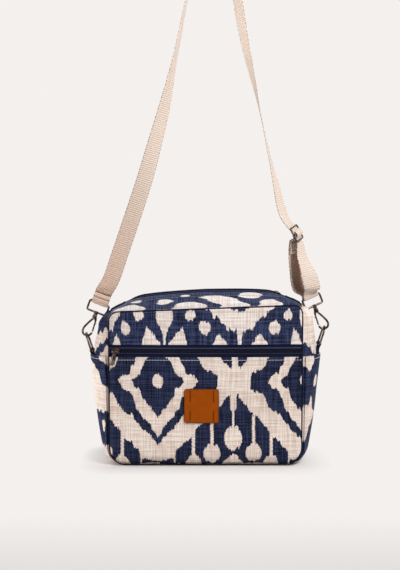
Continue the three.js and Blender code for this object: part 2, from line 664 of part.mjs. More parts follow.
// The ribbon's turn round a ring's upper bar, from its front face under the bar to its back face
const foldRadius = WIRE / 2 + GAP + WEBBING.thickness / 2;
function roundBar(place, fold) {
  const axes = hookAxes(place);
  const up = axes.down.clone().negate();
  const forward = axes.side.clone().cross(up);
  const bar = axes.origin.clone().addScaledVector(up, RING.height);
  const at = ({ above, out }) => ({
    point: bar.clone().addScaledVector(up, above).addScaledVector(forward, out), side: axes.side,
  });
  const under = spread(0, Math.PI, 8)
    .map((angle) => ({ above: -foldRadius * Math.sin(angle), out: foldRadius * Math.cos(angle) }));
  const behind = fold.map(({ above, out }) => ({ above, out: -out })).reverse();
  return [...fold, ...under, ...behind].map(at);
}

const slideAxes = (() => {
  const lean = radians(SLIDE_PLACE.tilt);
  const turn = radians(SLIDE_PLACE.turn);
  const down = vector(Math.sin(lean), 0, -Math.cos(lean));
  const level = vector(Math.cos(lean), 0, Math.sin(lean));
  const side = level.clone().multiplyScalar(Math.cos(turn)).add(vector(0, Math.sin(turn), 0));
  const out = down.clone().cross(side);
  return { origin: vector(SLIDE_PLACE.x, 0, SLIDE_PLACE.z), down, side, out };
})();
const atSlide = ({ down, out }) => ({
  point: slideAxes.origin.clone().addScaledVector(slideAxes.down, down).addScaledVector(slideAxes.out, out),
  side: slideAxes.side,
});

const hangArc = spread(HANG.from, HANG.to, 9).map((angle) => turned({
  x: HANG.x + HANG.arcRadius * Math.cos(radians(angle)),
  y: 0,
  z: HANG.centreZ + HANG.arcRadius * Math.sin(radians(angle)),
  turn: 90,
}));
const strapPlaces = [
  ...roundBar(SIDES[0], LEFT_FOLD),
  ...LEFT_RUN.map(turned),
  ...hangArc,
  ...RIGHT_RUN.map(turned),
  ...SLIDE_RUN.map(atSlide),
  ...LOOP_FRONT.map(turned),
  ...roundBar(SIDES[1], RIGHT_FOLD),
  ...LOOP_BACK.map(turned),
  ...SLIDE_SEWN_END.map(atSlide),
];
const smoothStrap = (() => {
  const route = new THREE.CatmullRomCurve3(strapPlaces.map(({ point }) => point));
  const sides = new THREE.CatmullRomCurve3(strapPlaces.map(({ side }) => side));
  const count = strapPlaces.length - 1;
  return range(count * 2).map((share) => ({ point: route.getPoint(share), side: sides.getPoint(share) }));
})();
add('strap', ribbon(smoothStrap, WEBBING.width, WEBBING.thickness), MATERIALS.webbing);

const slideLoop = roundedLoop(slideAxes, SLIDE.halfWidth, -SLIDE.barPitch, SLIDE.barPitch, SLIDE.wire);
const slideBar = [-SLIDE.halfWidth, SLIDE.halfWidth]
  .map((across) => slideAxes.origin.clone().addScaledVector(slideAxes.side, across));
const slideFrame = wire(slideLoop, slideAxes.out, SLIDE.wire, true);
add('strap_slide', union(slideFrame, wire(slideBar, slideAxes.out, SLIDE.wire)), MATERIALS.nickel);

bag.position.set(-HANG.x, 0, -(HANG.centreZ + HANG.arcRadius - WEBBING.thickness / 2));

export default bag;
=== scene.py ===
"""The looks of a soft printed-canvas shoulder bag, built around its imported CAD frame.

Shapes are laid out in millimetres with the floor at z = 0 and the front facing -Y, and go to the
frame's metres when a mesh is made. The frame's origin is the point where the strap hangs.
"""

import logging
import math
from collections.abc import Callable, Sequence
from dataclasses import dataclass
from enum import Enum
from functools import reduce
from operator import or_

import bpy
import numpy as np
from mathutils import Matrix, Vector


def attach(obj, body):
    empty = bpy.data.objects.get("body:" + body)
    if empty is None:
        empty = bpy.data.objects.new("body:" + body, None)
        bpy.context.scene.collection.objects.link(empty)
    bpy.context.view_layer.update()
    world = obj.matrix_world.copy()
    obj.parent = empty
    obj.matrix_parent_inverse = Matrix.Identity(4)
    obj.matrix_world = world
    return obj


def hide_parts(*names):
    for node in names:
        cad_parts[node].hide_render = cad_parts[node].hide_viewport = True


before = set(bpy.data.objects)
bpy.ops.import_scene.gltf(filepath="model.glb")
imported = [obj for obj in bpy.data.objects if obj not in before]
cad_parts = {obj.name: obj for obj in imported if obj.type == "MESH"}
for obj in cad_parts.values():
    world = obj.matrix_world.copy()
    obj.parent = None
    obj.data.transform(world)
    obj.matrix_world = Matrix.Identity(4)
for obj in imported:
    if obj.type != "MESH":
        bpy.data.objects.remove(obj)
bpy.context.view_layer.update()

LOG = logging.getLogger("shoulder_bag")
MM = 0.001
HANG_POINT = np.array([12.3, 0.0, 805.2])
BAG = "bag"
FABRIC_MAP = "fabric"
# How far a band's underside lies beside its face on the fabric map
UNDERSIDE = 60.0
# Places of a route that lie closer than this count as one
TOUCHING = 0.01

Piece = bpy.types.Object
Material = bpy.types.Material
Socket = bpy.types.NodeSocket
Array = np.ndarray
Rows = Sequence[tuple[float, ...]]
Surface = Callable[[Array, Array], Array]
Colour = tuple[float, float, float, float]
Pair = tuple[float, float]
Triple = tuple[float, float, float]
Oval = tuple[Pair, Pair]


def smoothstep(value: Array, low: float, high: float) -> Array:
    """A smooth rise from 0 at low to 1 at high."""
    share = np.clip((value - low) / (high - low), 0.0, 1.0)
    return share * share * (3.0 - 2.0 * share)


def spread(low: float, high: float, pitch: float) -> Array:
    """Even steps from low to high, about a pitch apart."""
    return np.linspace(low, high, max(2, round(abs(high - low) / pitch) + 1))


def crowded(count: int, share: float) -> Array:
    """Steps from -1 to 1, by a share drawn together at both ends."""
    steps = np.linspace(-1.0, 1.0, count)
    return np.sin(steps * math.pi / 2) * share + steps * (1.0 - share)


def bump(value: Array, middle: float, half: float, power: int = 2) -> Array:
    """A smooth bump of height 1 about a middle."""
    return np.exp(-((value - middle) / half) ** power)


def unit(vectors: Array) -> Array:
    """The vectors, each made one long."""
    return vectors / np.linalg.norm(vectors, axis=-1, keepdims=True)


def way_along(points: Array) -> Array:
    """The distance along a route at each of its points."""
    return np.concatenate([[0.0], np.cumsum(np.linalg.norm(np.diff(points, axis=0), axis=1))])


def read_rows(at: Array, way: Array, rows: Array) -> Array:
    """Rows that are given along a way, read at other distances along it."""
    return np.stack([np.interp(at, way, column) for column in rows.T], axis=-1)


def to_frame(points: Array) -> Array:
    """Points in millimetres above the floor, in the frame's metres."""
    return (points - HANG_POINT) * MM


def smooth_route(points: Array, per_span: int) -> Array:
    """A smooth centripetal curve through points.

    Args:
        points: the places that the curve passes, one a row.
        per_span: how many steps lie between two places.

    Returns:
        The curve's points, one a row.
    """
    whole = np.vstack([2 * points[0] - points[1], points, 2 * points[-1] - points[-2]])
    share = np.linspace(0.0, 1.0, per_span, endpoint=False)[:, None]
    curve = []
    for p0, p1, p2, p3 in zip(whole, whole[1:], whole[2:], whole[3:]):
        t0, t1, t2 = (math.sqrt(np.linalg.norm(b - a)) for a, b in ((p0, p1), (p1, p2), (p2, p3)))
        t1 = t1 if t1 > TOUCHING else 1.0
        t0, t2 = (t if t > TOUCHING else t1 for t in (t0, t2))
        start = ((p1 - p0) / t0 - (p2 - p0) / (t0 + t1) + (p2 - p1) / t1) * t1
        end = ((p2 - p1) / t1 - (p3 - p1) / (t1 + t2) + (p3 - p2) / t2) * t1
        curve.append(p1 + start * share + (3 * (p2 - p1) - 2 * start - end) * share ** 2
                     + (2 * (p1 - p2) + start + end) * share ** 3)
    return np.vstack([*curve, points[-1:]])


class Half(Enum):
    """One of two opposite halves of the bag; its value is the sign of its direction."""

    @property
    def word(self) -> str:
        """Its name in the pieces' names."""
        return self.name.lower()


class Side(Half):
    """The two ends of the bag, along X."""

    LEFT = -1
    RIGHT = 1


class Facing(Half):
    """The two faces of the bag, along Y."""

    FRONT = -1
    BACK = 1


@dataclass(frozen=True)
class Axes:
    """A place with three directions, such as a snap hook's own plane."""

    origin: Array
    side: Array
    down: Array
    out: Array

    def at(self, side: float = 0.0, down: float = 0.0, out: float = 0.0) -> Array:
        """The point at these distances along the three directions."""
        return self.origin + self.side * side + self.down * down + self.out * out


class Bench:
    """Modelling steps that the pieces share."""

    @staticmethod
    def pick(piece: Piece) -> None:
        """Selects one piece alone and makes it the active one."""
        bpy.ops.object.select_all(action="DESELECT")
        piece.select_set(True)
        bpy.context.view_layer.objects.active = piece

    @staticmethod
    def place(name: str, data: bpy.types.ID) -> Piece:
        """A new object in the scene."""
        thing = bpy.data.objects.new(name, data)
        bpy.context.scene.collection.objects.link(thing)
        return thing

    @classmethod
    def mesh(cls, name: str, points: Array, faces: Sequence[Sequence[int]],
             fabric: Array | None = None) -> Piece:
        """A mesh piece from points in millimetres.

        Args:
            name: the piece's name.
            points: its corners, one a row.
            faces: each face's corners, in order.
            fabric: each corner's place on the cloth, in millimetres, for the fabric map.

        Returns:
            The new piece.
        """
        data = bpy.data.meshes.new(name)
        data.from_pydata(to_frame(points).tolist(), [], [list(face) for face in faces])
        if fabric is not None:
            corners = np.zeros(len(data.loops), np.int32)
            data.loops.foreach_get("vertex_index", corners)
            layer = data.uv_layers.new(name=FABRIC_MAP)
            layer.uv.foreach_set("vector", (fabric[corners] * MM).astype(np.float32).ravel())
        return cls.place(name, data)

    @classmethod
    def apply(cls, piece: Piece, kind: str, **settings: object) -> None:
        """Adds a modifier to a piece and applies it.

        Args:
            piece: the piece that it shapes.
            kind: the modifier's type.
            settings: its settings by name.
        """
        modifier = piece.modifiers.new(kind.title(), kind)
        for key, value in settings.items():
            setattr(modifier, key, value)
        cls.pick(piece)
        bpy.ops.object.modifier_apply(modifier=modifier.name)

    @classmethod
    def smooth(cls, piece: Piece, angle: float = 40.0) -> Piece:
        """Shades a piece smooth, but for edges sharper than an angle in degrees, and gives it back."""
        cls.pick(piece)
        bpy.ops.object.shade_smooth_by_angle(angle=math.radians(angle))
        return piece

    @classmethod
    def outward(cls, piece: Piece) -> None:
        """Turns all faces of a closed piece outwards."""
        cls.pick(piece)
        bpy.ops.object.mode_set(mode="EDIT")
        bpy.ops.mesh.select_all(action="SELECT")
        bpy.ops.mesh.normals_make_consistent(inside=False)
        bpy.ops.object.mode_set(mode="OBJECT")

    @classmethod
    def fuse(cls, name: str, *pieces: Piece) -> Piece:
        """Joins pieces into one and shades it smooth.

        Args:
            name: the joined piece's name.
            pieces: the pieces, which go into the first.

        Returns:
            The joined piece.
        """
        cls.pick(pieces[0])
        for piece in pieces[1:]:
            piece.select_set(True)
        bpy.ops.object.join()
        pieces[0].name = name
        pieces[0].data.name = name
        return cls.smooth(pieces[0])

    @classmethod
    def wire(cls, name: str, points: Array, diameter: float, closed: bool = False) -> Piece:
        """A round wire, drawn as a curve and made a mesh.

        Args:
            name: the piece's name.
            points: its middle line in millimetres, one point a row.
            diameter: its diameter.
            closed: whether its end meets its start.

        Returns:
            The new piece.
        """
        curve = bpy.data.curves.new(name, "CURVE")
        curve.dimensions = "3D"
        curve.bevel_depth = diameter / 2 * MM
        curve.bevel_resolution = 3
        curve.use_fill_caps = True
        spline = curve.splines.new("POLY")
        spline.points.add(len(points) - 1)
        places = np.hstack([to_frame(points), np.ones((len(points), 1))])
        spline.points.foreach_set("co", places.ravel())
        spline.use_cyclic_u = closed
        cls.pick(cls.place(name, curve))
        bpy.ops.object.convert(target="MESH")
        return bpy.context.object

    @classmethod
    def barrel(cls, name: str, start: Array, end: Array, diameter: float, edge: float) -> Piece:
        """A turned barrel with rounded rims.

        Args:
            name: the piece's name.
            start: the middle of one end, in millimetres.
            end: the middle of the other end.
            diameter: its diameter.
            edge: the radius of its rims.

        Returns:
            The new piece.
        """
        length = float(np.linalg.norm(end - start))
        bpy.ops.object.select_all(action="DESELECT")
        bpy.ops.mesh.primitive_cylinder_add(vertices=24, radius=diameter / 2 * MM, depth=length * MM)
        piece = bpy.context.object
        piece.name = name
        cls.apply(piece, "BEVEL", width=edge * MM, segments=3, limit_method="ANGLE")
        piece.rotation_mode = "QUATERNION"
        piece.rotation_quaternion = Vector(end - start).to_track_quat("Z", "Y")
        piece.location = Vector(to_frame((start + end) / 2))
        bpy.ops.object.transform_apply(location=True, rotation=True, scale=True)
        return piece

    @classmethod
    def plate(cls, name: str, corners: Rows, place: Axes, thickness: float, edge: float,
              press: float = 0.0) -> Piece:
        """A flat metal plate with rounded edges, cut to an outline.

        Args:
            name: the piece's name.
            corners: the outline as (side, down) pairs in the place's own axes.
            place: where it lies; the plate grows along its "out" direction.
            thickness: the plate's thickness.
            edge: the radius of its edges.
            press: how deep a panel is pressed into its outer face.

        Returns:
            The new piece.
        """
        points = np.array([place.at(side, down) for side, down in corners])
        piece = cls.mesh(name, points, [range(len(points))])
        cls.pick(piece)
        bpy.ops.object.mode_set(mode="EDIT")
        bpy.ops.mesh.select_all(action="SELECT")
        lift = Vector(place.out * thickness * MM)
        bpy.ops.mesh.extrude_region_move(TRANSFORM_OT_translate={"value": lift})
        if press:
            bpy.ops.mesh.inset(thickness=thickness * MM, depth=0.0)
            bpy.ops.mesh.inset(thickness=press * MM, depth=-press * MM)
        bpy.ops.object.mode_set(mode="OBJECT")
        cls.outward(piece)
        cls.apply(piece, "BEVEL", width=edge * MM, segments=2, limit_method="ANGLE")
        return piece

    @classmethod
    def small_block(cls, size: Triple, edge: float) -> tuple[Array, list[list[int]]]:
        """The shape of a small block with cut edges, about the origin, in millimetres.

        Args:
            size: its three sides.
            edge: how much is cut off its edges.

        Returns:
            Its corners, and each face's corners in order.
        """
        bpy.ops.object.select_all(action="DESELECT")
        bpy.ops.mesh.primitive_cube_add(size=1.0)
        block = bpy.context.object
        block.scale = size
        bpy.ops.object.transform_apply(location=False, rotation=False, scale=True)
        cls.apply(block, "BEVEL", width=edge, segments=1, limit_method="NONE")
        corners = np.array([vertex.co for vertex in block.data.vertices])
        faces = [list(face.vertices) for face in block.data.polygons]
        bpy.data.objects.remove(block)
        return corners, faces


def settle(piece: Piece, material: Material, slot: str,
           node: str = "", body: str = BAG) -> None:
    """Dresses a finished piece and hands it to the frame.

    Args:
        piece: the finished piece.
        material: its finish.
        slot: not used.
        node: the CAD node that it stands for, if it stands for one.
        body: the CAD body that it moves with.
    """
    piece.data.materials.clear()
    piece.data.materials.append(material)
    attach(piece, body)
    if node:
        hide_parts(node)
    LOG.info("%s: %d faces, rides %s", piece.name, len(piece.data.polygons), body)


@dataclass(frozen=True)
class BagForm:
    """The soft body's surfaces, in millimetres with the floor at z = 0."""

    half_width: float = 140.0
    bottom: float = 2.0
    top: float = 229.0
    bottom_radius: float = 24.0
    top_radius: float = 14.0
    crown: float = 5.0
    depth: float = 86.0
    band_half_depth: float = 40.9
    base_end: float = 118.0
    top_start: float = 352.0
    flat_base: float = 0.7
    flare_power: float = 2.2
    flare: Rows = ((0, 2), (112, 2), (120, 2), (136, 6), (160, 11), (198, 17), (238, 21), (284, 22.5),
                   (312, 22.7), (330, 23.3), (339, 23), (345.5, 15.5), (351, 7.5), (358, 3.5), (366, 6),
                   (374, 10), (382, 13.2), (399, 15.6), (419, 17.5), (447, 19), (490, 20.2))
    dent_at: float = 347.0
    dent_along: float = 24.0
    dent_across: float = 17.0
    slope: float = 0.037
    slope_from: float = 165.0
    hem: float = 158.5
    zip_top: float = 176.5

    @property
    def ends(self) -> tuple[float, float, float, float, float]:
        """Where the outline's straights and corners end, from the middle of the base to that of the top."""
        bottom = self.half_width - self.bottom_radius
        low = bottom + self.bottom_radius * math.pi / 2
        side = low + self.top - self.bottom - self.bottom_radius - self.top_radius
        high = side + self.top_radius * math.pi / 2
        return bottom, low, side, high, high + self.half_width - self.top_radius

    @property
    def hem_station(self) -> float:
        """The distance along the outline at the height of the pockets' hems."""
        return self.ends[1] + self.hem - self.bottom - self.bottom_radius

    def sag(self, x: Array, z: Array) -> Array:
        """How far the lean of the shoulders lifts or drops a point."""
        return self.slope * x * smoothstep(z, self.slope_from, self.top)

    def flare_at(self, along: Array) -> Array:
        """How far the band stands out from the outline at the middle of the depth."""
        at, out = np.array(self.flare, float).T
        i = np.clip(np.searchsorted(at, along, side="right"), 1, len(at) - 1)
        low, high = np.maximum(np.arange(len(at)) - 1, 0), np.minimum(np.arange(len(at)) + 1, len(at) - 1)
        slopes = (out[high] - out[low]) / (at[high] - at[low])
        span = at[i] - at[i - 1]
        t = np.clip((along - at[i - 1]) / span, 0.0, 1.0)
        return ((2 * t ** 3 - 3 * t ** 2 + 1) * out[i - 1] + (t ** 3 - 2 * t ** 2 + t) * span * slopes[i - 1]
                + (3 * t ** 2 - 2 * t ** 3) * out[i] + (t ** 3 - t ** 2) * span * slopes[i])

    def outline(self, station: Array) -> tuple[Array, Array, Array, Array]:
        """The panels' outline at a signed distance from the middle of the base.

        Args:
            station: the distance along, below 0 on the left.

        Returns:
            The point's x and z, and the outward direction's x and z.
        """
        bottom, low, side, high, _ = self.ends
        along = np.abs(station)
        cases = [along <= bottom, along <= low, along <= side, along <= high]
        turn = np.select(cases, [0 * along, (along - bottom) / self.bottom_radius, 0 * along + math.pi / 2,
                                 math.pi / 2 + (along - side) / self.top_radius], math.pi)
        nx, nz = np.sin(turn), -np.cos(turn)
        high_x = self.half_width - self.top_radius
        x = np.select(cases, [along, bottom + self.bottom_radius * nx, 0 * along + self.half_width,
                              high_x + self.top_radius * nx], high_x - (along - high))
        low_z = self.bottom + self.bottom_radius
        z = np.select(cases, [0 * along + self.bottom, low_z + self.bottom_radius * nz, low_z + along - low,
                              self.top - self.top_radius + self.top_radius * nz], self.top)
        sign = np.where(station < 0, -1.0, 1.0)
        return sign * x, z, sign * nx, nz

    def band(self, station: Array, y: Array) -> Array:
        """Points of the band that joins the two panels.

        Args:
            station: the distance along the outline, below 0 on the left.
            y: the depth.

        Returns:
            The points, with their x, y and z last.
        """
        x, z, nx, nz = self.outline(station)
        along = np.abs(station)
        flat = np.where(along < self.base_end, self.flat_base, 0.0)
        across = np.maximum(0.0, np.abs(y) / self.band_half_depth - flat) / (1.0 - flat)
        dent = bump(along, self.dent_at, self.dent_along) * bump(y, 0.0, self.dent_across)
        out = self.flare_at(along) * (1.0 - across ** self.flare_power) * (1.0 - dent)
        x, z = x + nx * out, z + nz * out
        return np.stack([x, y + 0.0 * x, z + self.sag(x, z)], axis=-1)

    def over_top(self, round_: Array, y: Array) -> Array:
        """Points of the domed top, by the distance round from the left over the middle to the right."""
        end = self.ends[-1]
        return self.band(np.where(round_ <= end, -round_, 2 * end - round_), y)

    def half_width_at(self, z: Array) -> Array:
        """Half the panels' width at a height."""
        def inset(radius: float, rise: Array) -> Array:
            """How far a round corner draws the edge in."""
            short = radius - np.clip(rise, 0.0, radius)
            return radius - np.sqrt(radius ** 2 - short ** 2)
        return (self.half_width - inset(self.bottom_radius, z - self.bottom)
                - inset(self.top_radius, self.top - z))

    def panel(self, share: Array, z: Array, facing: Facing = Facing.FRONT) -> Array:
        """Points of a panel.

        Args:
            share: the share of its half width, below 0 on the left.
            z: the height before the lean.
            facing: which of the two panels.

        Returns:
            The points, with their x, y and z last.
        """
        x = share * self.half_width_at(z)
        rise = 2.0 * (z - self.bottom) / (self.top - self.bottom) - 1.0
        crown = self.crown * (1.0 - (x / self.half_width) ** 2) * (1.0 - rise ** 2)
        return np.stack([x, facing.value * (self.depth / 2 + crown), z + self.sag(x, z)], axis=-1)

    def seam_distance(self, share: Array, z: Array) -> Array:
        """How far a panel's point lies inside the panel's outline."""
        x = share * self.half_width_at(z)
        middle, half = (self.top + self.bottom) / 2, (self.top - self.bottom) / 2
        radius = np.where(z < middle, self.bottom_radius, self.top_radius)
        aside = np.abs(x) - self.half_width + radius
        above = np.abs(z - middle) - half + radius
        outside = np.hypot(np.maximum(aside, 0.0), np.maximum(above, 0.0))
        return radius - outside - np.minimum(np.maximum(aside, above), 0.0)


def through(operation: str, reflected: bool = False) -> Callable[["Number", object], "Number"]:
    """Makes an operator's method, which adds a Math node.

    Args:
        operation: the node's operation.
        reflected: whether the other value goes first.

    Returns:
        The method.
    """
    def method(self: "Number", other: object) -> "Number":
        """The Math node's value."""
        return self.painter.math(operation, *((other, self) if reflected else (self, other)))
    return method


class Number:
    """A shader value that Python's operators work on; each operator adds a Math node."""

    def __init__(self, painter: "Painter", socket: Socket) -> None:
        """Wraps a socket of a painter's material."""
        self.painter = painter
        self.socket = socket

    def math(self, operation: str, *others: object, clamp: bool = False) -> "Number":
        """This value put through a Math node, with others after it."""
        return self.painter.math(operation, self, *others, clamp=clamp)

    __add__ = __radd__ = through("ADD")
    __sub__ = through("SUBTRACT")
    __rsub__ = through("SUBTRACT", True)
    __mul__ = __rmul__ = through("MULTIPLY")
    __truediv__ = through("DIVIDE")
    __rtruediv__ = through("DIVIDE", True)
    __pow__ = through("POWER")
    # Of two masks, | covers what either covers, and & what both cover
    __or__ = through("MAXIMUM")
    __and__ = through("MINIMUM")

    def __abs__(self) -> "Number":
        """This without its sign."""
        return self.math("ABSOLUTE")

    def folded(self, middle: float, reach: float) -> "Number":
        """The distance from a mirror line, mirrored again each reach further on."""
        return (self - middle).math("PINGPONG", reach)

    def inside(self, soft: float = 0.7) -> "Number":
        """A mask that is 1 where this is above 0, with a soft edge."""
        return (self / soft).math("ADD", 0.5, clamp=True)

    def between(self, low: object, high: object) -> "Number":
        """A mask that is 1 where this lies between two others."""
        return (self - low).inside() & (high - self).inside()

    def clamped(self) -> "Number":
        """This, held between 0 and 1."""
        return self.math("MULTIPLY", 1.0, clamp=True)


class Painter:
    """Builds the nodes of one material, or of the world."""

    def __init__(self, owner: Material | bpy.types.World) -> None:
        """Starts with no nodes in a material or world."""
        self.owner = owner
        owner.use_nodes = True
        self.tree = owner.node_tree
        self.tree.nodes.clear()

    @classmethod
    def named(cls, name: str) -> "Painter":
        """A painter of a new material."""
        return cls(bpy.data.materials.new(name))

    def node(self, kind: str, settings: dict[str, object] | None = None,
             sockets: dict[object, object] | None = None) -> bpy.types.Node:
        """A new node.

        Args:
            kind: the node's type.
            settings: its own settings, set first; "stops" are a ramp's (place, grey) pairs.
            sockets: values or links for its inputs, by name or number.

        Returns:
            The node.
        """
        node = self.tree.nodes.new(kind)
        for key, value in (settings or {}).items():
            if key == "stops":
                self.set_stops(node.color_ramp.elements, value)
            else:
                setattr(node, key, value)
        for key, value in (sockets or {}).items():
            source = value.socket if isinstance(value, Number) else value
            if isinstance(source, Socket):
                self.tree.links.new(source, node.inputs[key])
            else:
                node.inputs[key].default_value = source
        return node

    @staticmethod
    def set_stops(elements: bpy.types.ColorRampElements, stops: Rows) -> None:
        """Gives a ramp these (place, grey) stops."""
        elements[0].position, elements[1].position = stops[0][0], stops[-1][0]
        for place, _ in stops[1:-1]:
            elements.new(place)
        for element, (_, grey) in zip(elements, stops):
            element.color = (grey, grey, grey, 1.0)

    def math(self, operation: str, *values: object, clamp: bool = False) -> Number:
        """A Math node on numbers or values."""
        settings = {"operation": operation, "use_clamp": clamp}
        node = self.node("ShaderNodeMath", settings, dict(enumerate(values)))
        return Number(self, node.outputs[0])

    def profile(self, value: Number, rows: Rows) -> Number:
        """A number read from a table, straight between its rows.

        Args:
            value: what the table is read by.
            rows: its (value, result) rows.

        Returns:
            The number.
        """
        at, result = np.array(rows, float).T
        floor, rise = result.min(), np.ptp(result)
        stops = list(zip((at - at[0]) / np.ptp(at), (result - floor) / rise))
        ramp = self.node("ShaderNodeValToRGB", {"stops": stops}, {0: (value - at[0]) / np.ptp(at)})
        return Number(self, ramp.outputs[0]) * rise + floor

    def parts(self, vector: Socket) -> tuple[Number, Number]:
        """A vector's first two numbers."""
        node = self.node("ShaderNodeSeparateXYZ", {}, {0: vector})
        return Number(self, node.outputs[0]), Number(self, node.outputs[1])

    def fabric(self) -> tuple[Number, Number]:
        """The place on the cloth, in millimetres across and along."""
        across, along = self.parts(self.node("ShaderNodeUVMap", {"uv_map": FABRIC_MAP}).outputs[0])
        return across / MM, along / MM

    def point(self, across: Number, along: Number) -> Socket:
        """A vector of two values."""
        return self.node("ShaderNodeCombineXYZ", {}, {0: across, 1: along}).outputs[0]

    def solid_place(self) -> Socket:
        """The place on a solid piece."""
        return self.node("ShaderNodeTexCoord").outputs["Object"]

    def noise(self, place: Socket, scale: float, detail: float = 2.0) -> Number:
        """Soft noise from 0 to 1 at a place."""
        node = self.node("ShaderNodeTexNoise", {"noise_dimensions": "3D"},
                         {"Vector": place, "Scale": scale, "Detail": detail})
        return Number(self, node.outputs[0])

    @staticmethod
    def weave(u: Number, v: Number, thread: float) -> Number:
        """A plain weave's height, from -1 to 1, with a thread's wave in millimetres."""
        return (u * (math.tau / thread)).math("SINE") * (v * (math.tau / thread)).math("SINE")

    def stepped(self, value: Number, step: float, seed: float) -> Number:
        """A number from -1 to 1 that is drawn anew for each step of a value.

        Args:
            value: what goes up in steps.
            step: how long a step is.
            seed: sets this draw apart.

        Returns:
            The number.
        """
        node = self.node("ShaderNodeTexWhiteNoise", {"noise_dimensions": "1D"},
                         {"W": (value / step).math("FLOOR") + seed})
        return Number(self, node.outputs[0]) * 2.0 - 1.0

    def mix(self, share: object, first: object, second: object) -> Socket:
        """A colour between two."""
        node = self.node("ShaderNodeMix", {"data_type": "RGBA"}, {0: share, 6: first, 7: second})
        return node.outputs[2]

    def finish(self, colour: object, roughness: object, height: Number | None = None, relief: float = 0.1,
               **constants: object) -> Material:
        """Closes the material with a shader.

        Args:
            colour: the base colour.
            roughness: the roughness.
            height: the height of a fine relief, from 0 to 1.
            relief: how deep the relief is, in millimetres.
            constants: other sockets of the shader, with "_" for a space.

        Returns:
            The material.
        """
        sockets = {"Base Color": colour, "Roughness": roughness}
        if height is not None:
            raised = self.node("ShaderNodeBump", {}, {"Distance": relief * MM, "Height": height})
            sockets["Normal"] = raised.outputs[0]
        sockets |= {key.replace("_", " "): value for key, value in constants.items()}
        shader = self.node("ShaderNodeBsdfPrincipled", {}, sockets)
        self.node("ShaderNodeOutputMaterial", {}, {0: shader.outputs[0]})
        return self.owner


class Chart(Enum):
    """The parts of the printed cloth, each with its own stretch of the pattern."""

    LOWER = "lower"
    UPPER = "upper"
    TOP = "top"
    LEFT = "left"
    RIGHT = "right"


